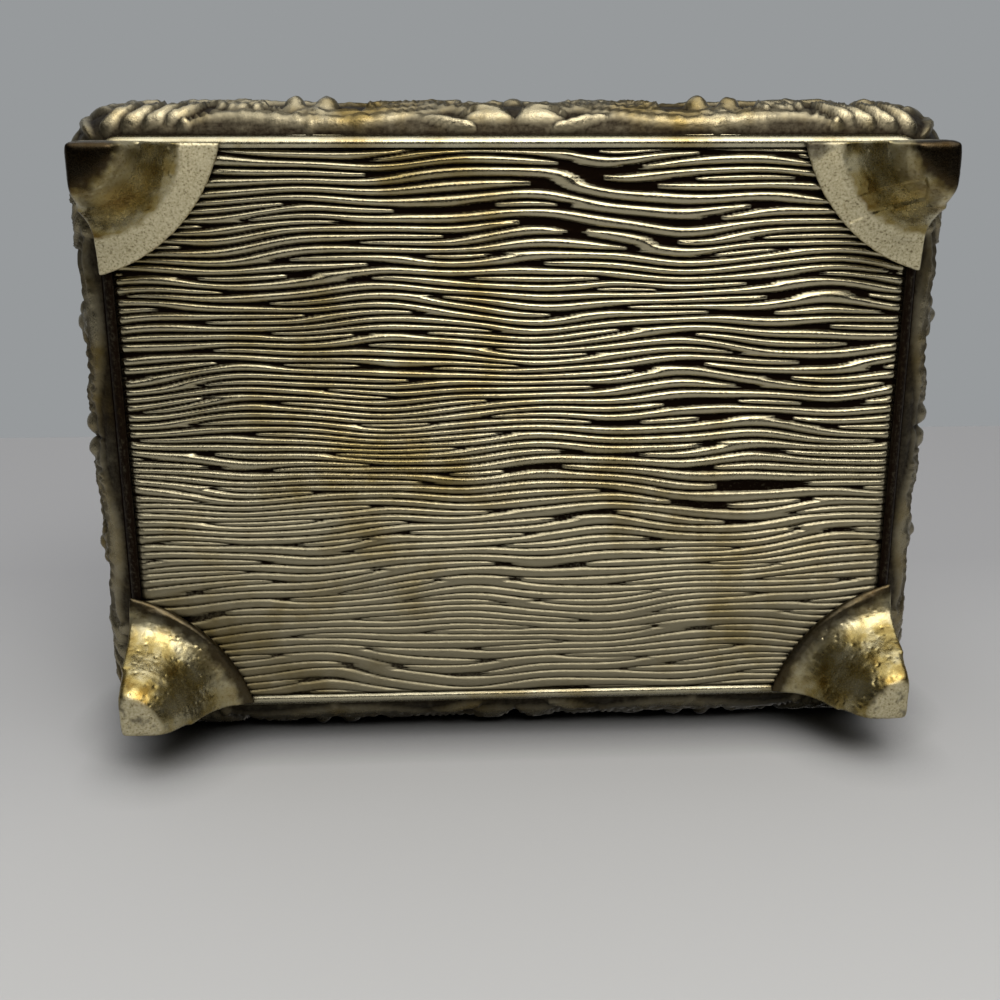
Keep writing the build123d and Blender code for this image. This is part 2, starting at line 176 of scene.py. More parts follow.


# %% [markdown]
# The plating on such a casting is thin. It looks like warm silver on the high places,
# turns yellow where the base metal shows through, and is nearly black in the hollows,
# where years of tarnish and polish have settled. One attribute on the mesh, called
# height, is 1 on a crest and 0 in a hollow, so tarnish follows the carving exactly. A
# second one rises towards the table side of the combed plate, where the metal is
# rougher and its colour carries painted shade. The sand of the mould left a grain of
# about a third of a millimetre, drawn at its real size.


# %% Plated white metal
def plated_metal(name, attribute=None, silver="#B9B297", brass="#93845A", tarnish="#1E150E",
                 patch_mm=9.0, roughness=(0.18, 0.36), hollow_mm=0.8, clean_from=(0.42, 0.92),
                 grain_mm=0.35, grain_rise_mm=0.05, grain_strength=0.35):
    """Silver plate over cast white metal, with tarnish in its hollows, and painted shade where its
    second attribute is set.
    """
    speckle, hollow_roughness = 0.35, 0.62
    # Where the second attribute is 1, the colour is painted darker (painted shade) and the metal is
    # rougher.
    painted_shade_brightness, worn_roughness = 0.70, 0.34
    material, tree = new_material(name)
    coords = add_node(tree, "ShaderNodeTexCoord")
    patches = add_node(tree, "ShaderNodeTexNoise", None,
                       {"Vector": coords.outputs["Object"], "Scale": 1 / (patch_mm * MM),
                        "Detail": 5.0, "Roughness": 0.62})
    grains = add_node(tree, "ShaderNodeTexNoise", None,
                      {"Vector": coords.outputs["Object"], "Scale": 1 / (grain_mm * MM),
                       "Detail": 4.0, "Roughness": 0.7})
    plate = set_ramp(add_node(tree, "ShaderNodeValToRGB", None, {"Fac": patches.outputs["Fac"]}),
                     [(0.36, srgb(brass)), (0.52, srgb(silver)), (0.70, srgb(silver))])
    shade = add_node(tree, "ShaderNodeAmbientOcclusion", {"samples": 6},
                     {"Distance": hollow_mm * MM})
    open_sky = shade.outputs["AO"]
    if attribute:
        crest = add_node(tree, "ShaderNodeAttribute", {"attribute_name": attribute})
        open_sky = add_node(tree, "ShaderNodeMath", {"operation": "MULTIPLY"},
                            {0: shade.outputs["AO"], 1: crest.outputs["Fac"]}).outputs[0]
    speckled = add_node(tree, "ShaderNodeMath", {"operation": "MULTIPLY_ADD"},
                        {0: grains.outputs["Fac"], 1: speckle, 2: open_sky})
    clean = add_node(tree, "ShaderNodeMapRange", None,
                     {"Value": speckled.outputs[0], "From Min": clean_from[0],
                      "From Max": clean_from[1]})
    table_side = add_node(tree, "ShaderNodeAttribute", {"attribute_name": "wear_and_shade"})
    # Painted shade: the colour dims towards the table side of the combing.
    painted_dimming = add_node(tree, "ShaderNodeMapRange", None,
                      {"Value": table_side.outputs["Fac"], "To Min": 1.0, "To Max": painted_shade_brightness})
    bright = add_node(tree, "ShaderNodeMath", {"operation": "MULTIPLY"},
                      {0: clean.outputs[0], 1: painted_dimming.outputs[0]})
    colour = add_node(tree, "ShaderNodeMix", {"data_type": "RGBA"},
                      {"Factor": bright.outputs[0], "A": srgb(tarnish),
                       "B": plate.outputs["Color"]})
    rough = add_node(tree, "ShaderNodeMapRange", None,
                     {"Value": grains.outputs["Fac"], "From Min": 0.3, "From Max": 0.75,
                      "To Min": roughness[0], "To Max": roughness[1]})
    scratched = add_node(tree, "ShaderNodeMath", {"operation": "MULTIPLY_ADD"},
                         {0: table_side.outputs["Fac"], 1: worn_roughness, 2: rough.outputs[0]})
    rough_hollow = add_node(tree, "ShaderNodeMix", {"data_type": "FLOAT"},
                            {"Factor": clean.outputs[0], "A": hollow_roughness,
                             "B": scratched.outputs[0]})
    bump = add_node(tree, "ShaderNodeBump", None,
                    {"Height": grains.outputs["Fac"], "Strength": grain_strength,
                     "Distance": grain_rise_mm * MM})
    shader = add_node(tree, "ShaderNodeBsdfPrincipled", None,
                      {"Base Color": colour.outputs["Result"], "Metallic": 1.0,
                       "Roughness": rough_hollow.outputs["Result"],
                       "Normal": bump.outputs["Normal"]})
    add_node(tree, "ShaderNodeOutputMaterial", None, {"Surface": shader.outputs["BSDF"]})
    return material


# Cast relief: a rough grain, dark in its ground and dull silver on its leaves.
relief_metal = plated_metal("plated_relief", "height", silver="#89816A", brass="#72633D",
                            tarnish="#1F1811", clean_from=(0.40, 1.18), grain_rise_mm=0.07,
                            grain_strength=0.5)
# Combing: smooth crests that mirror a window as thin lines, and furrows nearly black.
comb_metal = plated_metal("plated_combing", "height", silver="#A69E83", brass="#867850",
                          tarnish="#170F09", patch_mm=14.0, roughness=(0.10, 0.26),
                          clean_from=(0.26, 0.54), grain_mm=0.28, grain_rise_mm=0.06,
                          grain_strength=0.55)
# Mouldings: the brightest plate, rubbed clean by the hand that opens the box.
wall_metal = plated_metal("plated_wall_mouldings", "height")
smooth_metal = plated_metal("plated_mouldings")
# Drawn brass: the hinge turned yellow where its thin plate wore through.
hinge_metal = plated_metal("plated_hinge_brass", silver="#B3A06A", brass="#8C7038")

# %% [markdown]
# The feet are smoother than the rest and were touched more. Their coves have gone gold,
# where the plate is thinnest, their flat pads kept a matt cream skin from the solder
# bath, and some places are burnt nearly black. The pale rest faces of the back feet are
# a painted reflection, and the dark tips of the front feet and the dark bands along the
# edges of the back pads are painted shade. Two attributes on the mesh say where. The
# grain of that skin is finer than a pixel here, so it is drawn coarser, at 0.22 mm.


# %% Metal of the feet
def foot_plate(name, stain_mm=3.2, grain_mm=0.22, grain_rise_mm=0.04, hollow_mm=1.2,
               clean_from=(0.40, 0.80), roughness=(0.20, 0.34), pad_roughness=0.58):
    """Worn plate on a soldered foot, gold in its cove, matt on its pad, scorched in places, with
    painted reflection and painted shade.
    """
    speckle, grain_strength = 0.35, 0.3
    material, tree = new_material(name)
    coords = add_node(tree, "ShaderNodeTexCoord")
    stains = add_node(tree, "ShaderNodeTexNoise", None,
                      {"Vector": coords.outputs["Object"], "Scale": 1 / (stain_mm * MM),
                       "Detail": 5.0, "Roughness": 0.6})
    grains = add_node(tree, "ShaderNodeTexNoise", None,
                      {"Vector": coords.outputs["Object"], "Scale": 1 / (grain_mm * MM),
                       "Detail": 4.0, "Roughness": 0.7})
    gold = set_ramp(add_node(tree, "ShaderNodeValToRGB", None, {"Fac": stains.outputs["Fac"]}),
                    [(0.34, srgb("#6A5628")), (0.46, srgb("#8C7D4E")), (0.62, srgb("#A79F80"))])
    specks = set_ramp(add_node(tree, "ShaderNodeValToRGB", None, {"Fac": grains.outputs["Fac"]}),
                      [(0.32, srgb("#6B5C3E")), (0.44, srgb("#CBC19D")), (0.75, srgb("#ECE5CA"))])
    # This attribute marks the matt skin of the pads, and a painted pale reflection on the rest
    # faces of the back feet.
    pad = add_node(tree, "ShaderNodeAttribute", {"attribute_name": "matt_pad_and_reflection"})
    # This attribute marks scorched spots, and painted shade at the front tips and along the back
    # pads' edges.
    scorch_and_shade = add_node(tree, "ShaderNodeAttribute", {"attribute_name": "scorch_and_shade"})
    skin = add_node(tree, "ShaderNodeMix", {"data_type": "RGBA"},
                    {"Factor": pad.outputs["Fac"], "A": gold.outputs["Color"],
                     "B": specks.outputs["Color"]})
    shade = add_node(tree, "ShaderNodeAmbientOcclusion", {"samples": 6},
                     {"Distance": hollow_mm * MM})
    dirt = add_node(tree, "ShaderNodeMath", {"operation": "MULTIPLY_ADD"},
                    {0: grains.outputs["Fac"], 1: speckle, 2: shade.outputs["AO"]})
    clean = add_node(tree, "ShaderNodeMapRange", None,
                     {"Value": dirt.outputs[0], "From Min": clean_from[0],
                      "From Max": clean_from[1]})
    washed = add_node(tree, "ShaderNodeMix", {"data_type": "RGBA"},
                      {"Factor": clean.outputs[0], "A": srgb("#1E150E"),
                       "B": skin.outputs["Result"]})
    # The near-black colour mixed in here: scorched spots, and painted shade.
    scorched_and_shaded = add_node(tree, "ShaderNodeMix", {"data_type": "RGBA"},
                        {"Factor": scorch_and_shade.outputs["Fac"], "A": washed.outputs["Result"],
                         "B": srgb("#20140D")})
    rough = add_node(tree, "ShaderNodeMapRange", None,
                     {"Value": grains.outputs["Fac"], "From Min": 0.3, "From Max": 0.75,
                      "To Min": roughness[0], "To Max": roughness[1]})
    rough_pad = add_node(tree, "ShaderNodeMix", {"data_type": "FLOAT"},
                         {"Factor": pad.outputs["Fac"], "A": rough.outputs[0], "B": pad_roughness})
    bump = add_node(tree, "ShaderNodeBump", None,
                    {"Height": grains.outputs["Fac"], "Strength": grain_strength,
                     "Distance": grain_rise_mm * MM})
    shader = add_node(tree, "ShaderNodeBsdfPrincipled", None,
                      {"Base Color": scorched_and_shaded.outputs["Result"], "Metallic": 1.0,
                       "Roughness": rough_pad.outputs["Result"], "Normal": bump.outputs["Normal"]})
    add_node(tree, "ShaderNodeOutputMaterial", None, {"Surface": shader.outputs["BSDF"]})
    return material


foot_metal = foot_plate("plated_feet")

# %% [markdown]
# The underside is combed: long half-round strands lie side by side, part around the
# tips of others and close again, like the grain of wood. A grid of points is laid over
# the plate and lowered by a height that a formula gives. The formula counts strands. Its
# phase grows by one from strand to strand, and around each tip of a strand it turns by
# one more, which pushes the neighbours apart there and closes them behind the tip.

# %% Count the strands
comb_seed = 8
tip_margin = 3.0
strand_pitch = 0.77
pitch_fall = 0.0060
tip_cell = (6.6, 1.6)
tip_range_x, tip_range_y = (0.05, 0.95), (0.15, 0.85)
tips_compared = 40
tip_skipped_share = 0.05
strand_lean = 7.5
tip_clearance = (4.5, 1.1)
tip_softness = 0.05
sway_size = 0.55
sway_waves = [(0.55, 0.16, 0.20, 0.0), (0.50, 0.30, -0.30, 1.3), (0.28, 0.23, 0.45, 2.1),
              (0.10, 0.62, 0.28, 0.0)]

comb_random = random.Random(comb_seed)
strand_tips = []
for row in range(int(2 * (half_depth + tip_margin) / tip_cell[1])):
    for column in range(int(2 * (half_length + tip_margin) / tip_cell[0])):
        tip_x = (column + comb_random.uniform(*tip_range_x)) * tip_cell[0]
        tip_y = (row + comb_random.uniform(*tip_range_y)) * tip_cell[1]
        tip_x, tip_y = tip_x - half_length - tip_margin, tip_y - half_depth - tip_margin
        crowded = any(abs(tip_x - x) < tip_clearance[0] and abs(tip_y - y) < tip_clearance[1]
                      for x, y, _sign in strand_tips[-tips_compared:])
        if comb_random.random() > tip_skipped_share and not crowded:
            strand_tips.append((tip_x, tip_y, 1 if (row + column) % 2 else -1))
strand_tips = np.array(strand_tips)
print(len(strand_tips), "strand tips")


def comb_phase(x, y, own=None):
    """How many strands lie below a point, and how fast that number grows there."""
    phase = y / strand_pitch + 0.5 * pitch_fall * y**2
    slope = 1 / strand_pitch + pitch_fall * y
    for size, wave_x, wave_y, start in sway_waves:
        angle = wave_x * x + wave_y * y + start
        phase = phase + sway_size * size * np.sin(angle) / strand_pitch
        slope = slope + sway_size * size * wave_y * np.cos(angle) / strand_pitch
    for number, (tip_x, tip_y, sign) in enumerate(strand_tips):
        across = (x - tip_x) / strand_lean
        up = y - tip_y
        turn = sign * np.arctan2(up, across) / (2 * math.pi)
        if own is not None:
            turn = np.where(own == number, 0, turn)
        phase = phase + turn
        slope = slope + sign * across / (across**2 + up**2 + tip_softness**2) / (2 * math.pi)
    return phase, slope


# %% [markdown]
# A tip can start a strand or split one. The real strands only start, so each tip is
# moved a little, up or down, until the count there falls on the middle of a strand.
# Every move shifts the others, so this is done a few times.

# %% Set the tips on their strands
tip_rounds = 6
tip_step = 0.7
wanted = np.where(strand_tips[:, 2] > 0, 0.0, 0.5)
for _ in range(tip_rounds):
    count, _slope = comb_phase(strand_tips[:, 0], strand_tips[:, 1], np.arange(len(strand_tips)))
    miss = count - wanted
    miss -= np.round(miss)
    strand_tips[:, 1] -= tip_step * miss * strand_pitch
print("tips miss by", round(float(np.abs(miss).mean()), 3), "of a strand")

# %% Turn the count into a height
strand_fill, worn_fill = 0.40, 0.45
widest_strand, worn_widest = 0.50, 0.56
strand_round, worn_round = 0.45, 0.34
full_strand = 0.29
thinnest_tip = 0.15
thinnest_slope = 0.50
deep_share, worn_share = 1.0, 0.60
# The table side of the plate: its strands are shallower and wider, its colour gets painted shade
# and its furrows are painted lighter.
wear_and_shade_from, wear_and_shade_to = -4.0, 18.0


def comb_height(x, y, wear_and_shade):
    """Height of the combing in shares of a full strand, from 0 in a furrow to 1."""
    fill = strand_fill + (worn_fill - strand_fill) * wear_and_shade
    widest = widest_strand + (worn_widest - widest_strand) * wear_and_shade
    roundness = strand_round + (worn_round - strand_round) * wear_and_shade
    phase, slope = comb_phase(x, y)
    local_pitch = 1 / np.maximum(slope, thinnest_slope)
    off_centre = (phase - np.round(phase)) * local_pitch
    half_width = np.minimum(fill * local_pitch, widest)
    share = np.clip(1 - (off_centre / half_width) ** 2, 0, 1) ** roundness
    return share * np.clip(half_width / full_strand, thinnest_tip, 1)


# %% Shape the combed plate
grid_columns = 148
grid_rows = 655
comb_margin = 0.35
lightened_furrow = 0.15
bm, points = fine_grid(grid_columns, grid_rows)
plate_x = points[:, 0] * half_length
plate_y = points[:, 1] * half_depth
wear_and_shade = np.clip((plate_y - wear_and_shade_from) / (wear_and_shade_to - wear_and_shade_from), 0, 1)
crest = comb_height(plate_x, plate_y, wear_and_shade)
depth_share = deep_share + (worn_share - deep_share) * wear_and_shade
edge_gap = np.minimum(half_length - np.abs(plate_x), half_depth - np.abs(plate_y))
edge_share = np.clip(edge_gap / comb_margin, 0, 1)
raised = (1 - (1 - crest) * depth_share) * edge_share
plate_level = foot_height + reed_height
for vert, x, y, share in zip(bm.verts, plate_x, plate_y, raised):
    vert.co = (x, y, plate_level - reed_height * share)
# Towards the table side the furrows get a higher height value, so less tarnish colour: painted
# light.
write_layer(bm, "height", crest + (1 - crest) * lightened_furrow * wear_and_shade)
write_layer(bm, "wear_and_shade", wear_and_shade)
for vert in drawn_rim(bm):
    vert.co.z = plate_high.z
bmesh.ops.edgeloop_fill(bm, edges=rim_edges(bm))
bmesh.ops.recalc_face_normals(bm, faces=bm.faces)
make_piece(bm, "combed_plate", "box", comb_metal, ["base_plate"])

# %% [markdown]
# A foot is a quarter of a turned trumpet: its profile turns a quarter about the outer
# corner, and the pad is trimmed by a flat arc across the corner. The spin leaves crisp
# edges, but the real feet are cast and worn. So the solid is remeshed into small even
# faces and smoothed, which rounds its edges, and then single points are moved: the outer
# edge is rounded, and pits from the casting and a shallow bare panel on one foot are sunk.

# %% The profile of a foot
foot_tip_width = 3.9
foot_pad_reach = 11.0
foot_pad_diagonal = 9.9
foot_pad_flat = 2.4
foot_pad_edge = 0.45
foot_pad_rise = 0.35
cove_shares = [(0.43, 0.24), (0.40, 0.94)]
foot_steps = 40
cove_steps = 30
back_pad_flat = 1.2
pad_edge_level = foot_height - foot_pad_edge
pad_flat_level = pad_edge_level - foot_pad_rise
trim_centre = (foot_pad_reach**2 - foot_pad_diagonal**2) / (2 * (math.sqrt(2) * foot_pad_diagonal
                                                                 - foot_pad_reach))
trim_radius = foot_pad_diagonal + math.sqrt(2) * trim_centre


def pad_reach(angle):
    """How far the pad reaches from the outer corner, for an angle from its side."""
    lean = abs(math.cos(angle)) + abs(math.sin(angle))
    inside = (trim_centre * lean) ** 2 + trim_radius**2 - 2 * trim_centre**2
    return math.sqrt(inside) - trim_centre * lean


def bezier(points, count):
    """Points along a Bezier curve, as an array."""
    controls = np.array(points, float)
    share = np.linspace(0, 1, count)[:, None]
    degree = len(controls) - 1
    total = 0
    for index, control in enumerate(controls):
        weight = math.comb(degree, index) * share**index * (1 - share) ** (degree - index)
        total = total + weight * control
    return total


def foot_profile(flat_radius):
    """The profile of a foot whose cove ends at a radius, as radius and level."""
    cove_width = flat_radius - foot_tip_width
    middle = [(foot_tip_width + width * cove_width, level * pad_flat_level)
              for width, level in cove_shares]
    cove = bezier([(foot_tip_width, 0), *middle, (flat_radius, pad_flat_level)], cove_steps)
    return [(0, foot_height), (0, 0), *(tuple(p) for p in cove),
            (foot_pad_reach, pad_edge_level), (foot_pad_reach, foot_height)]


def remeshed(piece, voxel, passes):
    """Rebuild a closed piece in even faces of a size in millimetres, and smooth it."""
    modifier = piece.modifiers.new("even", "REMESH")
    modifier.mode = "VOXEL"
    modifier.voxel_size = voxel * MM
    depsgraph = bpy.context.evaluated_depsgraph_get()
    mesh = bpy.data.meshes.new_from_object(piece.evaluated_get(depsgraph))
    piece.modifiers.remove(modifier)
    bm = bmesh.new()
    bm.from_mesh(mesh)
    for _ in range(passes):
        bmesh.ops.smooth_vert(bm, verts=bm.verts, factor=0.5, use_axis_x=True,
                              use_axis_y=True, use_axis_z=True)
    return bm


def settle(bm, piece):
    """Put a reshaped bmesh back on its piece, smooth and with outward faces."""
    bmesh.ops.recalc_face_normals(bm, faces=bm.faces)
    bm.to_mesh(piece.data)
    bm.free()
    piece.data.polygons.foreach_set("use_smooth", [True] * len(piece.data.polygons))
    print(piece.name, len(piece.data.polygons), "faces")


# %% Wear of the feet
foot_voxel = 0.14
foot_smoothing = 5
tip_round_level = 2.6
tip_smoothing = 90
pit_depth = 0.05
pit_scale, pit_from, pit_fade = 3.4, 0.42, 0.2
dent_depth = 0.030
dent_level = 0.3
foot_edge_radius = 1.1
panel_depth = 0.17
panel_angle = math.radians(24)
panel_place = (1.0, -0.5)
panel_along = (3.9, 8.9)
panel_across = (1.6, 3.5)
panel_fade = 0.16


def panel_share(place):
    """1 inside the bare panel on the right front foot, 0 outside."""
    corner = Vector((half_length + panel_place[0], -half_depth + panel_place[1], 0))
    from_corner = place - corner
    along = -from_corner.x * math.cos(panel_angle) + from_corner.y * math.sin(panel_angle)
    across = from_corner.x * math.sin(panel_angle) + from_corner.y * math.cos(panel_angle)
    edge = min(along - panel_along[0], panel_along[1] - along,
               across - panel_across[0], panel_across[1] - across)
    return max(0.0, min(1.0, edge / panel_fade + 0.5))


def soft_step(value, start, end):
    """0 before the start, 1 past the end, and a straight rise between them."""
    return max(0.0, min(1.0, (value - start) / (end - start)))


def round_edge(vert, corner, x_side, y_side):
    """Move a point of a foot onto the rounded form of its upright outer edge."""
    place = vert.co / MM
    inset_x, inset_y = (corner.x - place.x) * x_side, (corner.y - place.y) * y_side
    far = math.hypot(foot_edge_radius - inset_x, foot_edge_radius - inset_y)
    if max(inset_x, inset_y) < foot_edge_radius < far:
        pull = foot_edge_radius / far
        inset_x = foot_edge_radius - (foot_edge_radius - inset_x) * pull
        inset_y = foot_edge_radius - (foot_edge_radius - inset_y) * pull
        vert.co.x = (corner.x - inset_x * x_side) * MM
        vert.co.y = (corner.y - inset_y * y_side) * MM


# %% Matt and burnt places of the feet, with painted reflection and painted shade
# Each pair is where a finish starts and where it is full, in millimetres: a reach from the
# foot's outer corner, a level, or a gap to the pad's edge. Only the burnt legs follow the
# value of a noise instead. The noise also makes the other edges uneven.
# The rest-face levels place a painted pale reflection; the tip and rim values place painted shade.
painted_reflection_levels = (0.35, 0.12)
back_pad_levels = (5.4, 6.4)
shoulder_reach, shoulder_levels = (5.6, 4.4), (0.2, 1.2)
front_pad_reach = (7.6, 8.0)
shaded_tip_reach, shaded_tip_levels = (4.5, 3.7), (1.6, 0.5)
burnt_end_place, burnt_end_reach = 10.4, (1.8, 0.6)
shaded_rim_gap = (1.5, 0.7)
burnt_leg_noise, burnt_leg_levels = (0.25, 0.6), (2.4, 0.8)


def pad_and_reflection_share(arm, y_side, rough):
    """1 on the matt flat of a front pad, and a painted pale reflection on the rest face of a back
    foot.
    """
    reach = math.hypot(arm.x, arm.y) + 0.25 * rough
    # Back feet: a painted pale reflection on the rest face, and some matt skin on the pad.
    if y_side > 0:
        return 0.8 * soft_step(arm.z, *painted_reflection_levels) + 0.25 * soft_step(arm.z, *back_pad_levels)
    shoulder = 0.55 * soft_step(reach, *shoulder_reach) * soft_step(arm.z, *shoulder_levels)
    return max(shoulder, soft_step(reach, *front_pad_reach)) if arm.z > shoulder_levels[0] else 0.0


def scorch_and_shade_share(arm, x_side, y_side, rough):
    """1 where a foot is darkened: painted shade at the front tips and along the back pads' edges,
    and scorched spots at the right front pad's end and on the back legs.
    """
    reach = math.hypot(arm.x, arm.y)
    if y_side < 0:
        # Painted shade on the tips of the front feet.
        at_tip = 0.92 * (soft_step(reach + 0.4 * rough, *shaded_tip_reach)
                         * soft_step(arm.z, *shaded_tip_levels))
        if x_side < 0:
            return at_tip
        pad_end = math.hypot(abs(arm.x) - burnt_end_place, arm.y)
        return max(at_tip, 0.8 * soft_step(pad_end + 0.5 * rough, *burnt_end_reach))
    # Painted shade along the edge of a back pad; the noise spots on the leg are scorch stains.
    edge_gap = pad_reach(math.atan2(arm.y, arm.x)) - reach
    at_pad = soft_step(edge_gap + 0.4 * rough, *shaded_rim_gap) * (arm.z > pad_flat_level / 2)
    on_leg = 0.6 * soft_step(rough, *burnt_leg_noise) * soft_step(arm.z, *burnt_leg_levels)
    return max(0.85 * at_pad, on_leg)


# %% Put a foot at each corner
def corner_foot(node, x_side, y_side):
    """A foot at one corner, with its pad on the base and its leg outward."""
    bm = bmesh.new()
    corner = Vector((x_side * foot_high.x, y_side * -foot_low.y, 0))
    start = Vector((-x_side, 0, 0))
    pad_flat_radius = foot_pad_reach - (foot_pad_flat if y_side < 0 else back_pad_flat)
    ring = [bm.verts.new(corner + start * radius + Vector((0, 0, level)))
            for radius, level in foot_profile(pad_flat_radius)]
    face = bm.faces.new(ring)
    turn = x_side * y_side
    bmesh.ops.spin(bm, geom=[face], cent=corner, axis=(0, 0, 1), angle=turn * math.pi / 2,
                   steps=foot_steps, use_duplicate=False)
    for vert in bm.verts:
        arm = Vector((vert.co.x - corner.x, vert.co.y - corner.y))
        if arm.length > pad_flat_radius + 0.01:
            trimmed = arm * (pad_reach(math.atan2(arm.y, arm.x)) / arm.length)
            vert.co.x, vert.co.y = corner.x + trimmed.x, corner.y + trimmed.y
    bmesh.ops.remove_doubles(bm, verts=bm.verts, dist=merge_gap)
    bmesh.ops.recalc_face_normals(bm, faces=bm.faces)
    piece = make_piece(bm, node.replace("foot", "cast_foot"), "box", foot_metal, [node])
    bm = remeshed(piece, foot_voxel, foot_smoothing)
    tip_verts = [v for v in bm.verts if v.co.z < tip_round_level * MM]
    for _ in range(tip_smoothing):
        bmesh.ops.smooth_vert(bm, verts=tip_verts, factor=0.5, use_axis_x=True, use_axis_y=True,
                              use_axis_z=True)
    pad_and_reflection_layer = bm.verts.layers.float.new("matt_pad_and_reflection")
    scorch_and_shade_layer = bm.verts.layers.float.new("scorch_and_shade")
    for vert in bm.verts:
        round_edge(vert, corner, x_side, y_side)
    bm.normal_update()
    for vert in bm.verts:
        place = vert.co / MM
        rough = noise.noise(place * 0.9) + 0.6 * noise.noise(place * 2.3)
        vert[pad_and_reflection_layer] = pad_and_reflection_share(place - corner, y_side, rough)
        vert[scorch_and_shade_layer] = scorch_and_shade_share(place - corner, x_side, y_side, rough)
        dent = dent_depth * rough
        pit = noise.noise(place * pit_scale + Vector((7, x_side, y_side)))
        dent -= pit_depth * max(0.0, (pit - pit_from) / pit_fade) * (place.z < pad_flat_level)
        if x_side > 0 and y_side < 0:
            dent -= panel_depth * panel_share(place)
        if place.z > dent_level:
            vert.co += vert.normal * dent * MM
        vert.co.z = max(0.0, min(vert.co.z, foot_height * MM))
    settle(bm, piece)


for y_name, y_side in (("front", -1), ("back", 1)):
    for x_name, x_side in (("left", -1), ("right", 1)):
        corner_foot(f"{y_name}_{x_name}_foot", x_side, y_side)

# %% [markdown]
# The walls and the lid carry cast relief: leaves, ribbons, scrolls and berries. All of
# them are strokes of a rounded tool, thick in the middle and thin at the ends. Each
# stroke is a line in the flat plan of a wall, and the relief at a point is the height of
# the highest stroke there. The plan is then wrapped round the box.


# %% Strokes of the carver's tool
def tapered(path, width, rise, start=0.15, end=0.1, swell=0.4):
    """A stroke along a path, widest at its swell and narrow at its ends."""
    path = np.array(path, float)
    share = np.linspace(0, 1, len(path))
    up = np.clip(share / swell, 0, 1)
    down = np.clip((1 - share) / (1 - swell), 0, 1)
    body = np.minimum(start + (1 - start) * np.sin(up * math.pi / 2),
                      end + (1 - end) * np.sin(down * math.pi / 2))
    return path, width * body, rise * (0.35 + 0.65 * body)


def scroll(centre, radius, turns, start_angle, width, rise, tail=()):
    """A volute: a stroke that winds in to its eye, from the end of a tail."""
    count = int(16 * abs(turns)) + 6
    share = np.linspace(0, 1, count)
    angle = math.radians(start_angle) + share * turns * 2 * math.pi
    reach = radius * (1 - 0.78 * share)
    path = np.stack([centre[0] + reach * np.cos(angle), centre[1] + reach * np.sin(angle)], 1)
    if len(tail):
        path = np.concatenate([bezier([*tail, path[0]], 12)[:-1], path])
    return tapered(path, width, rise, 0.2, 0.75, 0.35)


def berry(place, radius, rise):
    """A round bud."""
    path = np.array([place, (place[0] + 0.01, place[1])], float)
    return path, np.array([radius, radius]), np.array([rise, rise])


def leaf(base, tip, bow, width, rise, lobes=5):
    """An acanthus leaf: a stem with lobes that fan out and lean towards the tip."""
    base, tip = np.array(base, float), np.array(tip, float)
    along = tip - base
    length = np.linalg.norm(along)
    across = np.array([-along[1], along[0]]) / length
    stem = bezier([base, base + 0.5 * along + bow * across, tip], 14)
    strokes = [tapered(stem, 0.20 * width, 1.05 * rise, 0.8, 0.3, 0.4)]
    for side in (-1, 1):
        for number in range(lobes):
            share = 0.04 + 0.80 * number / lobes
            start = stem[int(share * 13)]
            ahead = stem[min(13, int(share * 13) + 2)] - start
            ahead = ahead / (np.linalg.norm(ahead) + 1e-9)
            out = side * np.array([-ahead[1], ahead[0]])
            size = width * (0.95 - 0.55 * abs(share - 0.35) / 0.65)
            middle = start + 0.55 * size * out + 0.18 * size * ahead
            end = start + 0.92 * size * out + 0.75 * size * ahead
            strokes.append(tapered(bezier([start, middle, end], 9), 0.24 * size + 0.10,
                                   rise * (0.92 - 0.04 * number), 0.45, 0.25, 0.6))
    return strokes


def relief_height(places, strokes):
    """The height of the carving over each place of a plan."""
    height = np.zeros(len(places))
    for path, widths, rises in strokes:
        reach = widths.max()
        near = np.all((places > path.min(0) - reach) & (places < path.max(0) + reach), axis=1)
        near = np.nonzero(near)[0]
        if not len(near):
            continue
        spot = places[near][:, None, :]
        start, step = path[None, :-1], np.diff(path, axis=0)[None]
        share = np.sum((spot - start) * step, 2) / np.maximum(np.sum(step**2, 2), 1e-9)
        share = np.clip(share, 0, 1)
        gap = np.linalg.norm(spot - start - share[..., None] * step, axis=2)
        width = widths[:-1] + (widths[1:] - widths[:-1]) * share
        rise = rises[:-1] + (rises[1:] - rises[:-1]) * share
        dome = np.clip(1 - (gap / width) ** 2, 0, 1) ** 0.62
        height[near] = np.maximum(height[near], np.max(rise * dome, axis=1))
    return height


# %% [markdown]
# The plan of a wall runs from its middle to its corner, and mirrors. Its second number
# is the distance up the curved wall. Low down, where the wall turns under, two leaves
# meet at the middle, ribbons cross beside them and sag in long curves with buds above,
# and a big leaf with four curls on each side wraps each corner. Higher up, scrolls and
# sprays fill the belly.

# %% The plan of the walls
relief_rise = 0.75


def ribbon(points, width, rise, count=34):
    """A flat ribbon with a raised thread along its upper edge."""
    path = bezier(points, count)
    return [tapered(path, width, 0.75 * rise, 0.35, 0.35, 0.5),
            tapered(path + np.array([0.0, 0.75 * width]), 0.36 * width, rise, 0.4, 0.4, 0.5)]


def spray(base, spread, size, rise, count=5, lean=90):
    """A spray of small leaves that fan out from one place."""
    strokes = []
    for number in range(count):
        angle = math.radians(lean + spread * (number / (count - 1) - 0.5))
        reach = size * (1 - 0.30 * abs(2 * number / (count - 1) - 1))
        tip = (base[0] + reach * math.cos(angle), base[1] + reach * math.sin(angle))
        middle = (base[0] + 0.55 * reach * math.cos(angle),
                  base[1] + 0.62 * reach * math.sin(angle))
        strokes.append(tapered(bezier([base, middle, tip], 8), 0.17 * size, rise, 0.35, 0.3, 0.6))
    return strokes


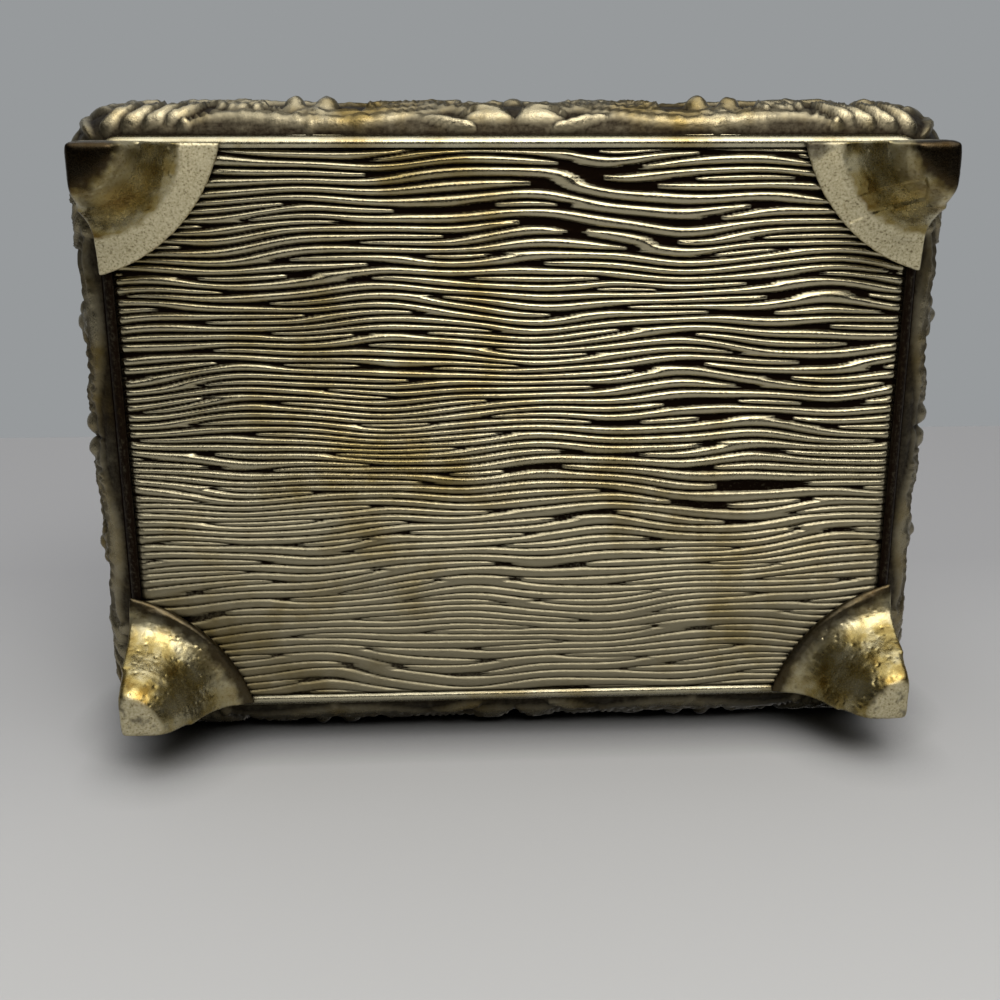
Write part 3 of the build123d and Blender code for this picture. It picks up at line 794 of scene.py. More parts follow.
def upper_strokes(half_wall):
    """Scrolls and sprays over the belly and up to the rim, for half of a wall."""
    strokes = []
    strokes += spray((0.0, 6.2), 150, 4.2, relief_rise, 7)
    strokes.append(berry((0.0, 6.0), 1.05, 1.1 * relief_rise))
    strokes += leaf((0.0, 10.8), (0.0, 14.6), 0.0, 2.0, 0.9 * relief_rise, 3)
    strokes.append(scroll((6.4, 8.6), 2.2, 1.35, 200, 0.62, relief_rise, [(1.2, 5.2), (3.2, 5.6)]))
    strokes.append(berry((6.4, 8.6), 0.72, 1.1 * relief_rise))
    strokes += leaf((4.6, 5.6), (10.6, 5.2), -0.8, 1.9, 0.9 * relief_rise, 4)
    strokes += leaf((8.3, 9.4), (13.6, 13.4), 1.0, 2.3, relief_rise, 5)
    strokes += leaf((3.0, 11.0), (7.6, 14.2), 0.9, 1.8, 0.85 * relief_rise, 4)
    rest = half_wall - 9.5
    strokes.append(scroll((rest, 8.0), 2.5, -1.3, -20, 0.66, relief_rise,
                          [(10.5, 6.6), (0.55 * rest + 4.0, 4.4)]))
    strokes.append(berry((rest, 8.0), 0.80, 1.1 * relief_rise))
    strokes += spray((rest - 3.6, 7.2), 110, 3.6, relief_rise, 5, 110)
    strokes += leaf((rest + 0.6, 10.6), (rest - 4.8, 14.0), -0.9, 2.2, relief_rise, 5)
    for number in range(4):
        strokes.append(berry((12.2 + 1.25 * number, 10.4 - 0.55 * number), 0.62, relief_rise))
    strokes += leaf((rest + 1.8, 10.0), (rest + 3.4, 14.4), 0.3, 1.7, 0.9 * relief_rise, 4)
    return strokes


def long_wall_strokes():
    """Strokes for half of a long wall."""
    strokes = upper_strokes(half_long)
    blade = bezier([(0.1, 1.3), (2.0, 2.2), (4.4, 1.3)], 14)
    strokes.append(tapered(blade, 0.80, relief_rise, 0.15, 0.15, 0.45))
    strokes.append(tapered(blade + np.array([0.3, 0.55]), 0.24, 1.25 * relief_rise, 0.4, 0.3, 0.5))
    strokes.append(tapered(bezier([(8.9, 1.5), (7.2, 1.9), (5.4, 0.6), (3.6, 0.55)], 18), 0.45,
                           relief_rise, 0.2, 0.75, 0.75))
    strokes += ribbon([(3.4, 3.1), (7.6, 2.8), (10.8, 0.2), (16.0, 0.2), (20.6, 0.5), (23.0, 2.8),
                       (26.0, 1.9), (28.2, 0.8)], 0.46, relief_rise, 46)
    strokes += ribbon([(3.0, 3.9), (7.6, 3.7), (11.0, 1.2), (15.0, 1.4), (19.6, 1.3), (21.6, 3.4)],
                      0.34, 0.85 * relief_rise, 36)
    strokes += ribbon([(3.2, 2.4), (6.4, 2.4), (9.4, 4.6), (12.4, 4.0)], 0.36,
                      0.9 * relief_rise, 20)
    strokes.append(berry((28.2, 0.85), 0.60, relief_rise))
    for place_x, size in ((16.2, 1.12), (19.0, 1.0)):
        strokes.append(berry((place_x, 3.55), size, 1.35 * relief_rise))
    strokes += spray((17.6, 2.9), 170, 3.2, 0.8 * relief_rise, 5, -90)
    strokes += leaf((12.6, 3.0), (9.0, 4.9), 0.3, 1.5, 0.9 * relief_rise, 4)
    strokes += leaf((21.6, 3.3), (26.6, 4.2), 0.3, 1.7, relief_rise, 4)
    return strokes


def short_wall_strokes():
    """Strokes for half of a short wall."""
    strokes = upper_strokes(half_short)
    strokes.append(berry((1.15, 3.4), 1.15, 1.35 * relief_rise))
    strokes += leaf((2.4, 3.2), (6.6, 2.2), -0.4, 1.4, relief_rise, 4)
    strokes += ribbon([(0.3, 1.9), (4.4, 2.8), (6.4, 0.2), (10.6, 0.3), (13.4, 0.4), (14.6, 2.6),
                       (16.6, 2.0), (18.6, 0.8)], 0.70, relief_rise, 40)
    strokes.append(berry((18.5, 0.9), 0.70, relief_rise))
    strokes += spray((10.4, 3.4), 150, 2.8, 0.8 * relief_rise, 5, -90)
    strokes.append(berry((10.4, 3.7), 0.95, 1.3 * relief_rise))
    return strokes


def corner_strokes():
    """Strokes about a corner. The first number is the distance from the corner."""
    strokes = []
    strokes += leaf((0.0, 13.2), (0.0, 1.0), 0.0, 3.6, 1.15 * relief_rise, 7)
    for far, low, high in ((1.9, 0.7, 4.4), (3.9, 0.8, 4.6), (5.8, 1.0, 4.4), (7.6, 1.4, 5.0)):
        curl = bezier([(far + 1.6, high), (far + 1.7, 2.4), (far + 0.2, low + 0.3),
                       (far - 0.5, low)], 14)
        strokes.append(tapered(curl, 0.58, 1.1 * relief_rise, 0.25, 0.85, 0.8))
        strokes.append(tapered(curl + np.array([0.75, 0.5]), 0.28, 0.9 * relief_rise,
                               0.4, 0.5, 0.6))
    strokes += leaf((1.4, 9.4), (5.0, 13.8), 0.8, 2.2, relief_rise, 5)
    strokes += spray((3.4, 5.2), 100, 3.4, relief_rise, 5, 60)
    return strokes


# %% [markdown]
# The relief is wrapped round the belly of the walls. A grid becomes a ring: one way it
# follows the outline of the base, and the other way it climbs the wall's own profile,
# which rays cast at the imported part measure. The ring is closed behind, inside the
# casting, so that it is a solid too.

# %% The profile and the outline of the walls
ring_columns = 1150
ring_rows = 80
band_height = 1.15
bead_height = 1.35
corner_arc = math.pi / 2 * (base_corner_radius + rim_spread)
straight_x = 2 * (half_length - base_corner_radius)
straight_y = 2 * (half_depth - base_corner_radius)
half_long = (straight_x + corner_arc) / 2
half_short = (straight_y + corner_arc) / 2
around = 4 * (half_long + half_short)
relief_low = foot_height + band_height
relief_high = rim_level - bead_height
wall_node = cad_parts["wall_shell"]
probe_places = (0.3, 4.3, 8.1, 10.4, 15.3, 21.9, 22.7)


def wall_spread(level):
    """How far the plain wall, between its ornaments, stands out at a level."""
    reaches = []
    for y in probe_places:
        _hit, place, *_rest = wall_node.ray_cast((0.1, y * MM, level * MM), (-1, 0, 0))
        reaches.append(place.x / MM - half_length)
    return min(reaches)


fine_levels = np.linspace(relief_low, relief_high, 400)
fine_spreads = np.array([wall_spread(level) for level in fine_levels])
fine_steps = np.hypot(np.diff(fine_levels), np.diff(fine_spreads))
fine_climbs = np.concatenate([[0], np.cumsum(fine_steps)])
climbs = np.linspace(0, fine_climbs[-1], ring_rows + 1)
levels = np.interp(climbs, fine_climbs, fine_levels)
spreads = np.interp(climbs, fine_climbs, fine_spreads)
print("the wall climbs", round(climbs[-1], 1), "mm and runs", round(around, 1), "mm round")


def outline_place(along):
    """A place on the base outline: x, y, outward direction, distance from the corner."""
    legs = [straight_x, corner_arc, straight_y, corner_arc] * 2
    for leg, length in enumerate(legs):
        if along <= length:
            break
        along -= length
    quarter = leg // 2
    turned = math.radians(-90 + 90 * quarter)
    corners = [(1, -1), (1, 1), (-1, 1), (-1, -1)]
    centre = np.array(corners[quarter]) * (straight_x / 2, straight_y / 2)
    if leg % 2 == 0:
        out = np.array([math.cos(turned), math.sin(turned)])
        place = centre + base_corner_radius * out - (length - along) * np.array([-out[1], out[0]])
        from_corner = min(along, length - along) + corner_arc / 2
    else:
        turned += along / corner_arc * math.pi / 2
        out = np.array([math.cos(turned), math.sin(turned)])
        place = centre + base_corner_radius * out
        from_corner = abs(along - corner_arc / 2)
    return *place, *out, from_corner, abs(out[1]) > abs(out[0])


# %% Wrap the relief round the walls
recess_margin = 13.4
leaf_drop = 4.9
leaf_face = 26.98
recess_skin = 0.02
edge_fade = 0.5
ground_height = 0.27
bare_rise, bare_climb = 0.06, 3.0
grain_depth = 0.15
sunk = 0.06
wall_skin = 0.03
ring_depth = 0.4
ring = np.array([outline_place(around * i / ring_columns) for i in range(ring_columns)])
bm, points = fine_grid(ring_columns, ring_rows)
column = np.round((points[:, 0] + 1) / 2 * ring_columns).astype(int) % ring_columns
row = np.round((points[:, 1] + 1) / 2 * ring_rows).astype(int)
place = ring[column]
climb = climbs[row]
carved = relief_height(np.stack([place[:, 4], climb], 1), corner_strokes())
on_long = place[:, 5] > 0.5
for on_wall, half_wall, strokes in ((on_long, half_long, long_wall_strokes()),
                                    (~on_long, half_short, short_wall_strokes())):
    chosen = np.nonzero(on_wall)[0]
    own = relief_height(np.stack([half_wall - place[chosen, 4], climb[chosen]], 1), strokes)
    carved[chosen] = np.maximum(carved[chosen], own)
edge_share = np.clip(np.minimum(climb, climbs[-1] - climb) / edge_fade, 0, 1)
ring_places = [Vector(spot) for spot in zip(place[:, 0], place[:, 1], levels[row])]
cast_grain = np.array([noise.noise(spot * 0.8) + 0.6 * noise.noise(spot * 1.9)
                       for spot in ring_places])
carved = np.clip(carved + grain_depth * cast_grain, 0, None) * edge_share
stand = spreads[row] + wall_skin * edge_share + carved - sunk * (1 - edge_share)
new_x = place[:, 0] + place[:, 2] * stand
new_y = place[:, 1] + place[:, 3] * stand
in_recess = (np.abs(new_x) < recess_margin) & (new_y > 0) & (levels[row] > rim_level - leaf_drop)
new_y = np.where(in_recess, np.minimum(new_y, leaf_face + recess_skin), new_y)
for vert, x, y, z in zip(bm.verts, new_x, new_y, levels[row]):
    vert.co = (x, y, z)
bare_height = bare_rise * np.clip(1 - climb / bare_climb, 0, 1)
write_layer(bm, "height", np.minimum(1.0, ground_height + bare_height + carved / relief_rise))
bmesh.ops.remove_doubles(bm, verts=bm.verts, dist=merge_gap)
for vert in drawn_rim(bm):
    flat = Vector((max(-straight_x / 2, min(straight_x / 2, vert.co.x)),
                   max(-straight_y / 2, min(straight_y / 2, vert.co.y)), vert.co.z))
    away = (vert.co - flat).normalized()
    vert.co = flat + away * (base_corner_radius + ring_depth)
bmesh.ops.bridge_loops(bm, edges=rim_edges(bm))
bmesh.ops.recalc_face_normals(bm, faces=bm.faces)
make_piece(bm, "wall_relief", "box", relief_metal)

# %% [markdown]
# The lid is a pillow: on each side its shoulder is a quarter of an ellipse, and where
# two sides meet, the lower one holds. The grid is spaced along the curve of the
# shoulder, so that the steep edge gets as many points as the flat crown.

# %% The plan of the lid
lid_brim = 1.2
shoulder_width = 13.5
lid_height = 11.5
lid_rise = lid_height - lid_brim
lid_half_length = half_length + rim_spread
lid_half_depth = half_depth + rim_spread
lid_corner_radius = base_corner_radius + rim_spread


def arch_curve(half_width, steps=400):
    """Distance along an arch, and its width and height there, from middle to edge."""
    angle = np.linspace(0, math.pi / 2, steps)
    wide = half_width - shoulder_width + shoulder_width * np.sin(angle)
    high = lid_rise * np.cos(angle)
    wide = np.concatenate([[0], wide])
    high = np.concatenate([[lid_rise], high])
    run = np.concatenate([[0], np.cumsum(np.hypot(np.diff(wide), np.diff(high)))])
    return run, wide, high


def lid_strokes(long_half, short_half):
    """Strokes for a quarter of the lid, in distance along its curves."""
    strokes = []
    for number in range(8):
        angle = math.pi * number / 4 + 0.2
        tip = (4.6 * math.cos(angle), 3.4 * math.sin(angle))
        strokes.append(tapered(bezier([(0, 0), (0.6 * tip[0], 0.6 * tip[1]), tip], 8), 1.15,
                               relief_rise, 0.5, 0.5, 0.6))
    strokes.append(berry((0, 0), 1.4, 1.3 * relief_rise))
    oval = np.array([(8.6 * math.cos(t), 6.2 * math.sin(t)) for t in np.linspace(-0.2, 1.8, 30)])
    strokes.append(tapered(oval, 0.55, 0.8 * relief_rise, 0.9, 0.9, 0.5))
    strokes.append(tapered(1.16 * oval, 0.34, 0.6 * relief_rise, 0.9, 0.9, 0.5))
    strokes += leaf((9.0, 1.4), (20.5, 5.6), -1.8, 4.0, relief_rise, 6)
    strokes += leaf((2.2, 7.4), (6.4, 17.0), 1.4, 3.6, relief_rise, 6)
    strokes.append(scroll((15.0, 11.5), 3.2, -1.4, 230, 0.8, relief_rise,
                          [(27.0, 3.0), (20.0, 9.5)]))
    strokes.append(berry((15.0, 11.5), 1.0, 1.1 * relief_rise))
    strokes.append(scroll((long_half - 11.0, 6.0), 2.6, 1.3, 60, 0.75, 0.95 * relief_rise,
                          [(22.0, 16.0), (27.5, 13.0)]))
    strokes += leaf((21.0, 15.5), (long_half - 7.5, short_half - 7.0), 0.8, 5.0,
                    1.1 * relief_rise, 7)
    strokes += leaf((17.5, 17.5), (12.0, short_half - 4.0), 1.4, 3.4, 0.95 * relief_rise, 5)
    strokes += leaf((26.0, 12.0), (long_half - 4.0, 9.5), 1.0, 3.0, 0.95 * relief_rise, 5)
    strokes.append(scroll((20.5, short_half - 6.2), 2.2, 1.3, 100, 0.66, 0.9 * relief_rise,
                          [(7.0, short_half - 5.0), (13.0, short_half - 1.0)]))
    strokes += leaf((0.0, 20.0), (0.0, short_half - 3.6), 0.0, 3.0, relief_rise, 5)
    strokes += leaf((long_half - 13.0, 0.0), (long_half - 3.6, 0.0), 0.0, 3.0, relief_rise, 5)
    for place in ((9.5, 21.5), (11.2, 22.6), (9.3, 23.4), (long_half - 9.0, 11.4)):
        strokes.append(berry(place, 0.85, relief_rise))
    return strokes


# %% Shape the lid relief
lid_columns = 280
lid_rows = 216
hip_blend = 0.9
lid_edge_fade = 1.2
lid_ground_height = 0.36
lid_skin = 0.04
rim_share = (0.97, 0.96)
rim_rise = 1.0
long_run, long_wide, long_high = arch_curve(lid_half_length)
short_run, short_wide, short_high = arch_curve(lid_half_depth)
bm, points = fine_grid(lid_columns, lid_rows)
plan_x = points[:, 0] * long_run[-1]
plan_y = points[:, 1] * short_run[-1]
lid_x = np.sign(plan_x) * np.interp(np.abs(plan_x), long_run, long_wide)
lid_y = np.sign(plan_y) * np.interp(np.abs(plan_y), short_run, short_wide)
over_x = np.interp(np.abs(plan_x), long_run, long_high)
over_y = np.interp(np.abs(plan_y), short_run, short_high)
over = -hip_blend * np.log(np.exp(-over_x / hip_blend) + np.exp(-over_y / hip_blend))
over = np.minimum(over + hip_blend * math.log(2) * np.clip(over / lid_rise, 0, 1), lid_rise)
corner_x = np.maximum(np.abs(lid_x) - (lid_half_length - lid_corner_radius), 0)
corner_y = np.maximum(np.abs(lid_y) - (lid_half_depth - lid_corner_radius), 0)
corner_reach = np.maximum(np.hypot(corner_x, corner_y), 1e-9)
pull = np.where((corner_x > 0) & (corner_y > 0), np.minimum(lid_corner_radius / corner_reach, 1), 1)
lid_x -= np.sign(lid_x) * corner_x * (1 - pull)
lid_y -= np.sign(lid_y) * corner_y * (1 - pull)
lid_base = lid_low.z + lid_brim
for vert, x, y, z in zip(bm.verts, lid_x, lid_y, over):
    vert.co = (x, y, lid_base + z)
bm.normal_update()
plan = np.stack([np.abs(plan_x), np.abs(plan_y)], 1)
carved = relief_height(plan, lid_strokes(long_run[-1], short_run[-1]))
lid_edge = np.minimum(long_run[-1] - np.abs(plan_x), short_run[-1] - np.abs(plan_y))
carved *= np.clip(lid_edge / lid_edge_fade, 0, 1)
write_layer(bm, "height", np.minimum(1.0, lid_ground_height + carved / relief_rise))
moves = [v.normal * (lid_skin + rise) for v, rise in zip(bm.verts, carved)]
for vert, move, x in zip(bm.verts, moves, lid_x):
    vert.co += move
    if abs(x) < recess_margin and vert.co.y > 0 and vert.co.z < rim_level + leaf_drop:
        vert.co.y = min(vert.co.y, leaf_face + recess_skin)
for vert in drawn_rim(bm):
    vert.co = Vector((vert.co.x * rim_share[0], vert.co.y * rim_share[1], lid_base + rim_rise))
bmesh.ops.edgeloop_fill(bm, edges=rim_edges(bm))
bmesh.ops.recalc_face_normals(bm, faces=bm.faces)
make_piece(bm, "lid_relief", "lid", relief_metal)

# %% [markdown]
# The mouldings, the pocket walls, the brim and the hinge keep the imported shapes. The
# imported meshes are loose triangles, so each is copied and merged, which lets Blender
# shade their rolled edges as smooth curves and keep their corners sharp. Faces that the
# relief covers are left out of the copies, so that nothing pokes through it.

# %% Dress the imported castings
sharp_angle = math.radians(32)
# Painted shade on the low ground band of the short sides: its height value and how far up it
# reaches.
shaded_band_height, shaded_band_rise = 0.25, 0.2
band_tilt = 0.48
band_top = 0.7
belly_gap = 0.3
brim_gap = 0.05
corner_size = 9.0
corner_step, side_step = 2.6, 0.9


def merged_copy(node):
    """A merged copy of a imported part, as a bmesh in millimetres."""
    bm = bmesh.new()
    bm.from_mesh(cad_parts[node].data)
    bmesh.ops.scale(bm, vec=(1 / MM, 1 / MM, 1 / MM), verts=bm.verts)
    bmesh.ops.remove_doubles(bm, verts=bm.verts, dist=2 * merge_gap)
    return bm


def dress(node, name, body, material, covered=None):
    """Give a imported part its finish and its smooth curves, without its covered faces."""
    bm = merged_copy(node)
    if covered:
        hidden = [face for face in bm.faces if covered(face.calc_center_median(), face.normal)]
        bmesh.ops.delete(bm, geom=hidden, context="FACES")
    if node == "wall_shell":
        # The ground band low on the short sides gets a low height value, so it takes the tarnish
        # colour: painted shade.
        height_layer = bm.verts.layers.float.new("height")
        for vert in bm.verts:
            on_short_side = abs(vert.co.x) > half_length and abs(vert.co.y) < half_depth - 1
            in_painted_shade = on_short_side and vert.co.z < relief_low + shaded_band_rise
            vert[height_layer] = shaded_band_height if in_painted_shade else 1.0
            vert.co.z += band_fall(vert.co)
    piece = make_piece(bm, name, body, material, [node])
    piece.data.set_sharp_from_angle(angle=sharp_angle)


def band_fall(place):
    """How much the worn ground band falls away towards its outer edge."""
    out = max(abs(place.x) - half_length, abs(place.y) - half_depth)
    wear_and_shade = 0.12 * noise.noise(place * 0.8) + 0.05 * noise.noise(place * 2.4)
    return max(0.0, (band_tilt + wear_and_shade) * out) if place.z < foot_height + band_top and out > 0 else 0


def under_wall_relief(place, _normal):
    """Whether a place lies on the belly, which the wall relief covers."""
    outside = abs(place.x) > half_length + belly_gap or abs(place.y) > half_depth + belly_gap
    return outside and relief_low < place.z < relief_high


def under_lid_relief(place, normal):
    """Whether a place lies on the outside of the pillow, which the lid relief covers."""
    if normal.dot(place - Vector((0, 0, lid_base))) < 0:
        return False
    in_corner = min(abs(place.x) - lid_half_length, abs(place.y) - lid_half_depth) > -corner_size
    over_long = np.interp(abs(place.x), long_wide, long_high)
    over_short = np.interp(abs(place.y), short_wide, short_high)
    plain = lid_base + min(over_long, over_short)
    lowest = plain - (corner_step if in_corner else side_step)
    return place.z > lid_base + brim_gap and place.z > lowest


dress("wall_shell", "cast_walls", "box", wall_metal, under_wall_relief)
dress("lid_shell", "cast_lid", "lid", smooth_metal, under_lid_relief)
dress("box_hinge_leaf", "box_leaf", "box", hinge_metal)
dress("hinge_pin", "drawn_pin", "box", hinge_metal)
dress("lid_hinge_leaf", "lid_leaf", "lid", hinge_metal)

# %% [markdown]
# Inside, card is covered with short cotton velvet. Its pile scatters light sideways, so
# the cloth is darkest where the eye looks straight at it and glows at its edges. Single
# threads of pile are too fine to show, so tufts of 0.18 mm stand for them. The card under
# it is rolled from grey-brown pulp: quite matt, with fibres half a millimetre long.


# %% Velvet and card
def velvet(name, colour, glow, pile_mm=0.18, nap_mm=6.0, pile_rise_mm=0.12):
    """Short cotton velvet with a pile that lies in soft patches."""
    material, tree = new_material(name)
    coords = add_node(tree, "ShaderNodeTexCoord")
    pile = add_node(tree, "ShaderNodeTexNoise", None,
                    {"Vector": coords.outputs["Object"], "Scale": 1 / (pile_mm * MM),
                     "Detail": 3.0})
    nap = add_node(tree, "ShaderNodeTexNoise", None,
                   {"Vector": coords.outputs["Object"], "Scale": 1 / (nap_mm * MM), "Detail": 3.0})
    tone = set_ramp(add_node(tree, "ShaderNodeValToRGB", None, {"Fac": nap.outputs["Fac"]}),
                    [(0.3, srgb(colour)), (0.75, srgb(glow))])
    bump = add_node(tree, "ShaderNodeBump", None,
                    {"Height": pile.outputs["Fac"], "Strength": 0.8, "Distance": pile_rise_mm * MM})
    shader = add_node(tree, "ShaderNodeBsdfPrincipled", None,
                      {"Base Color": tone.outputs["Color"], "Roughness": 0.95,
                       "Sheen Weight": 0.8, "Sheen Roughness": 0.35,
                       "Sheen Tint": srgb(glow), "Normal": bump.outputs["Normal"]})
    add_node(tree, "ShaderNodeOutputMaterial", None, {"Surface": shader.outputs["BSDF"]})
    return material


def pasteboard(name, fibre_mm=0.5):
    """Grey-brown board with short fibres."""
    material, tree = new_material(name)
    coords = add_node(tree, "ShaderNodeTexCoord")
    fibres = add_node(tree, "ShaderNodeTexNoise", None,
                      {"Vector": coords.outputs["Object"], "Scale": 1 / (fibre_mm * MM),
                       "Detail": 4.0})
    tone = set_ramp(add_node(tree, "ShaderNodeValToRGB", None, {"Fac": fibres.outputs["Fac"]}),
                    [(0.35, srgb("#7A6B54")), (0.65, srgb("#958670"))])
    shader = add_node(tree, "ShaderNodeBsdfPrincipled", None,
                      {"Base Color": tone.outputs["Color"], "Roughness": 0.9})
    add_node(tree, "ShaderNodeOutputMaterial", None, {"Surface": shader.outputs["BSDF"]})
    return material


red_velvet = velvet("red_cotton_velvet", "#4A0A12", "#7E1C26")
grey_card = pasteboard("grey_pasteboard")

# %% [markdown]
# Velvet over card and wadding has no crisp edges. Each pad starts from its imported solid,
# is rebuilt in small even faces and smoothed until its edges roll over, and then gets
# the small waves of glued cloth.

# %% Cover the pads
velvet_voxel = 0.30
velvet_smoothing = 7
cloth_wave = 0.05
cloth_wave_scale = 0.35


def velvet_cover(node, body):
    """A soft velvet cover in the place of a packed pad."""
    piece = make_piece(merged_copy(node), f"velvet_{node}", body, red_velvet, [node])
    bm = remeshed(piece, velvet_voxel, velvet_smoothing)
    bm.normal_update()
    for vert in bm.verts:
        wave = noise.noise(vert.co / MM * cloth_wave_scale) - 0.5
        vert.co += vert.normal * wave * cloth_wave * MM
    settle(bm, piece)


for node in ("front_wall_lining", "back_wall_lining", "left_wall_lining", "right_wall_lining",
             "compartment_divider"):
    velvet_cover(node, "box")
for node in ("left_stamp_bed", "right_stamp_bed"):
    velvet_cover(node, "box")
velvet_cover("lid_lining", "lid")
for node, body in (("floor_card", "box"), ("lid_card", "lid")):
    dress(node, f"board_{node}", body, grey_card)

# %% [markdown]
# The photograph looks at the underside of the box, which lies on its back. The box stays
# upright in its own frame here, so the camera goes below it instead, and the table is an
# upright plane behind its back. Four corners of the base and four of the feet, matched
# to their places in the photograph, gave the camera's turn and distance.

# %% Camera
focal_pixels = 1150.0
photo_pixels = 1000.0
base_length_mm = 2 * half_length
camera_turn = Vector((math.radians(15.33), math.radians(-2.63), math.radians(-0.51)))
camera_shift = Vector((0.02020, -0.08189, 1.49914)) * base_length_mm
to_photo = Matrix.Rotation(camera_turn.length, 3, camera_turn.normalized())
camera_data = bpy.data.cameras.new("photo_camera")
camera_data.sensor_width = 36.0
camera_data.lens = camera_data.sensor_width * focal_pixels / photo_pixels
camera_data.clip_start = 1 * MM
camera_data.clip_end = 10.0
camera = bpy.data.objects.new("photo_camera", camera_data)
bpy.context.scene.collection.objects.link(camera)
right, down, ahead = to_photo
eye = -(to_photo.transposed() @ camera_shift) + Vector((0, 0, foot_height))
axes = Matrix((right, -down, -ahead)).transposed().to_4x4()
camera.matrix_world = Matrix.Translation(eye * MM) @ axes
bpy.context.scene.camera = camera
print("camera at", [round(v, 1) for v in eye])

# %% [markdown]
# The table is seen from its front only, and lets light through from behind, so that
# views from the back stay clear. A second floor under the feet shows only from above.

# %% Stage
def pale_floor(name, near_colour, far_colour, painted_falloff_mm=(-40, 60), painted_shadow_mm=7):
    """A matte pale surface, clear from behind and to light, with painted light falloff from near to
    far and a painted contact shadow near the box.
    """
    material, tree = new_material(name)
    path = add_node(tree, "ShaderNodeLightPath")
    side = add_node(tree, "ShaderNodeNewGeometry")
    clear = add_node(tree, "ShaderNodeMath", {"operation": "MAXIMUM"},
                     {0: side.outputs["Backfacing"], 1: path.outputs["Is Shadow Ray"]})
    coords = add_node(tree, "ShaderNodeTexCoord")
    depth = add_node(tree, "ShaderNodeSeparateXYZ", None, {"Vector": coords.outputs["Object"]})
    # Painted light falloff: the colour is lighter near the camera and darker far off.
    distance = add_node(tree, "ShaderNodeMapRange", None,
                        {"Value": depth.outputs["Z"], "From Min": painted_falloff_mm[0] * MM,
                         "From Max": painted_falloff_mm[1] * MM})
    bare = add_node(tree, "ShaderNodeMix", {"data_type": "RGBA"},
                    {"Factor": distance.outputs[0], "A": srgb(near_colour), "B": srgb(far_colour)})
    # Painted contact shadow: ambient occlusion darkens the colour near the box.
    shade = add_node(tree, "ShaderNodeAmbientOcclusion", {"samples": 8},
                     {"Color": bare.outputs["Result"], "Distance": painted_shadow_mm * MM})
    solid = add_node(tree, "ShaderNodeBsdfDiffuse", None, {"Color": shade.outputs["Color"]})
    open_air = add_node(tree, "ShaderNodeBsdfTransparent")
    mixed = add_node(tree, "ShaderNodeMixShader", None, {"Fac": clear.outputs[0]})
    tree.links.new(solid.outputs[0], mixed.inputs[1])
    tree.links.new(open_air.outputs[0], mixed.inputs[2])
    add_node(tree, "ShaderNodeOutputMaterial", None, {"Surface": mixed.outputs[0]})
    return material


table_level = cad_high.y / MM + 0.2
table_far = 151.0
table_near = -420.0
table_half = 420.0
floor_level = -0.05


def stage_plane(name, corners, material):
    """A flat sheet of the set, from four corners in millimetres."""
    bm = bmesh.new()
    bm.faces.new([bm.verts.new(Vector(c) * MM) for c in corners])
    mesh = bpy.data.meshes.new(name)
    bm.to_mesh(mesh)
    bm.free()
    mesh.materials.append(material)
    plane = bpy.data.objects.new(name, mesh)
    bpy.context.scene.collection.objects.link(plane)
    return plane


# Near and far colours of the table: a painted falloff of light from front to back.
table_white = pale_floor("pale_table", "#BFC0C1", "#9D9EA1")
stage_plane("lying_table", [(-table_half, table_level, table_near),
                            (table_half, table_level, table_near),
                            (table_half, table_level, table_far),
                            (-table_half, table_level, table_far)], table_white)
floor = stage_plane("standing_floor", [(-table_half, -table_half, floor_level),
                                       (table_half, -table_half, floor_level),
                                       (table_half, table_level, floor_level),
                                       (-table_half, table_level, floor_level)], table_white)
floor.visible_diffuse = False
floor.visible_glossy = False
floor.visible_shadow = False

# %% [markdown]
# Polished metal shows the room around it, so the room matters more than the lamps. It
# is bright above the box as it lies, pale behind it and dark on the side of the camera.
# The camera sees only the plain grey wall, and the metal mirrors it where it stands.

# %% Room and lamps
window_direction = Vector((0.10, -0.92, -0.36)).normalized()
window_edge, window_full = math.radians(41), math.radians(27)
window_strength = 2.15
world = bpy.data.worlds.new("grey_room")
bpy.context.scene.world = world
world.use_nodes = True
tree = world.node_tree
tree.nodes.clear()
path = add_node(tree, "ShaderNodeLightPath")
direction = add_node(tree, "ShaderNodeTexCoord")
sides = add_node(tree, "ShaderNodeSeparateXYZ", None, {"Vector": direction.outputs["Generated"]})
wall_side = add_node(tree, "ShaderNodeMapRange", {"interpolation_type": "SMOOTHSTEP"},
                     {"Value": sides.outputs["Z"], "From Min": 0.15, "From Max": 0.6})
mirrored = add_node(tree, "ShaderNodeMath", {"operation": "MULTIPLY"},
                    {0: path.outputs["Is Glossy Ray"], 1: wall_side.outputs[0]})
straight = add_node(tree, "ShaderNodeMath", {"operation": "MAXIMUM"},
                    {0: path.outputs["Is Camera Ray"], 1: path.outputs["Is Transmission Ray"]})
seen = add_node(tree, "ShaderNodeMath", {"operation": "MAXIMUM"},
                {0: straight.outputs[0], 1: mirrored.outputs[0]})
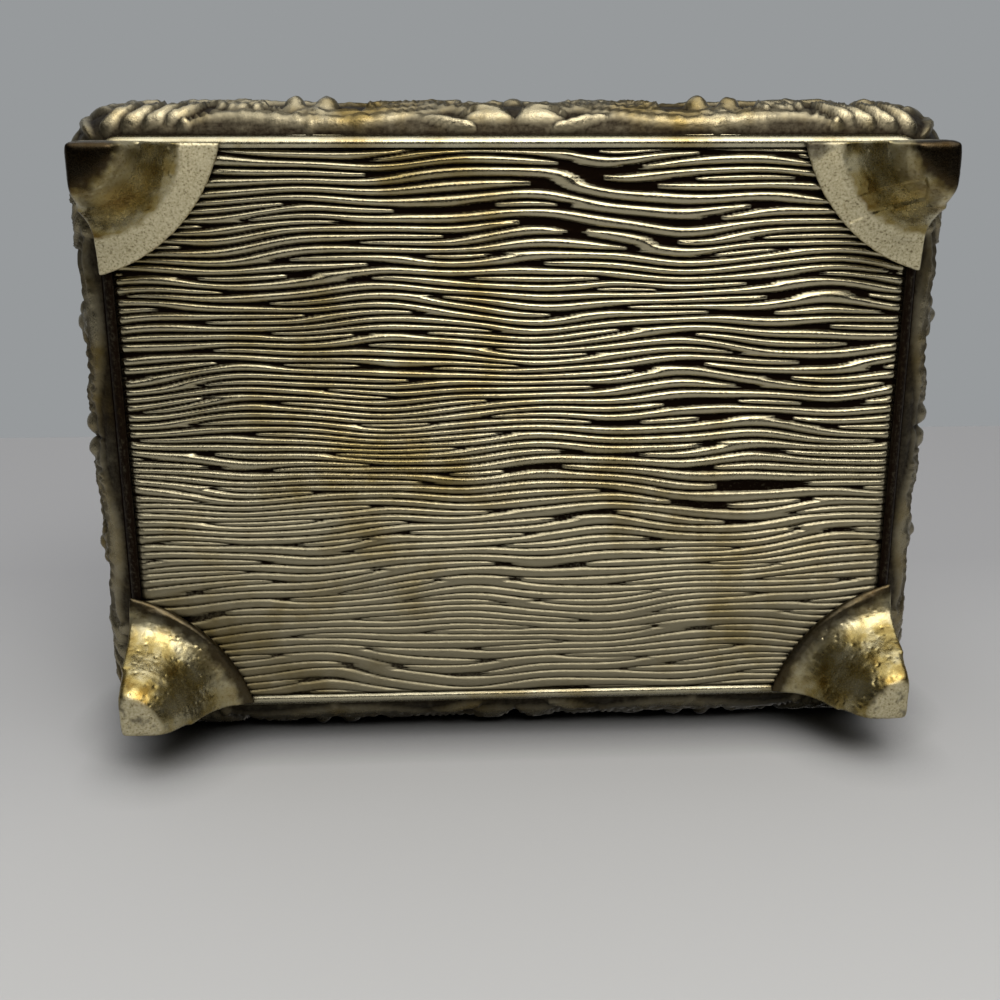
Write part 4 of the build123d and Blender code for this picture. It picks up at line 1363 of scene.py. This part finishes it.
toward_window = add_node(tree, "ShaderNodeVectorMath", {"operation": "DOT_PRODUCT"},
                         {0: direction.outputs["Generated"], 1: window_direction})
window = add_node(tree, "ShaderNodeMapRange", {"interpolation_type": "SMOOTHSTEP"},
                  {"Value": toward_window.outputs["Value"], "From Min": math.cos(window_edge),
                   "From Max": math.cos(window_full), "To Min": 0.0, "To Max": window_strength})
far_wall = add_node(tree, "ShaderNodeMapRange", {"interpolation_type": "SMOOTHSTEP"},
                    {"Value": sides.outputs["Z"], "From Min": -0.8, "From Max": 0.7,
                     "To Min": 0.02, "To Max": 0.30})
brightness = add_node(tree, "ShaderNodeMath", {"operation": "ADD"},
                      {0: window.outputs[0], 1: far_wall.outputs[0]})
wall_colour = add_node(tree, "ShaderNodeBackground", None,
                       {"Color": srgb("#979A9C"), "Strength": 1.0})
room_light = add_node(tree, "ShaderNodeBackground", None,
                      {"Color": (1.0, 0.985, 0.96, 1.0), "Strength": brightness.outputs[0]})
both = add_node(tree, "ShaderNodeMixShader", None, {"Fac": seen.outputs[0]})
tree.links.new(room_light.outputs[0], both.inputs[1])
tree.links.new(wall_colour.outputs[0], both.inputs[2])
add_node(tree, "ShaderNodeOutputWorld", None, {"Surface": both.outputs[0]})


def soft_lamp(name, place, target, size, watts, colour="#FFFFFF"):
    """A square soft lamp that looks at a target, in millimetres."""
    lamp_data = bpy.data.lights.new(name, "AREA")
    lamp_data.shape = "SQUARE"
    lamp_data.size = size * MM
    lamp_data.energy = watts
    lamp_data.color = srgb(colour)[:3]
    lamp = bpy.data.objects.new(name, lamp_data)
    bpy.context.scene.collection.objects.link(lamp)
    aim = (Vector(target) - Vector(place)).to_track_quat("-Z", "Y")
    lamp.matrix_world = Matrix.Translation(Vector(place) * MM) @ aim.to_matrix().to_4x4()


soft_lamp("window", (60, -270, -230), (0, 0, 0), 150, 0.45, "#FFFAF2")
soft_lamp("ceiling", (-120, -330, 160), (0, 0, 20), 200, 0.12)
soft_lamp("back_fill", (160, 300, 200), (0, 0, 20), 240, 0.30, "#F4F7FF")

scene = bpy.context.scene
scene.view_settings.view_transform = "Standard"
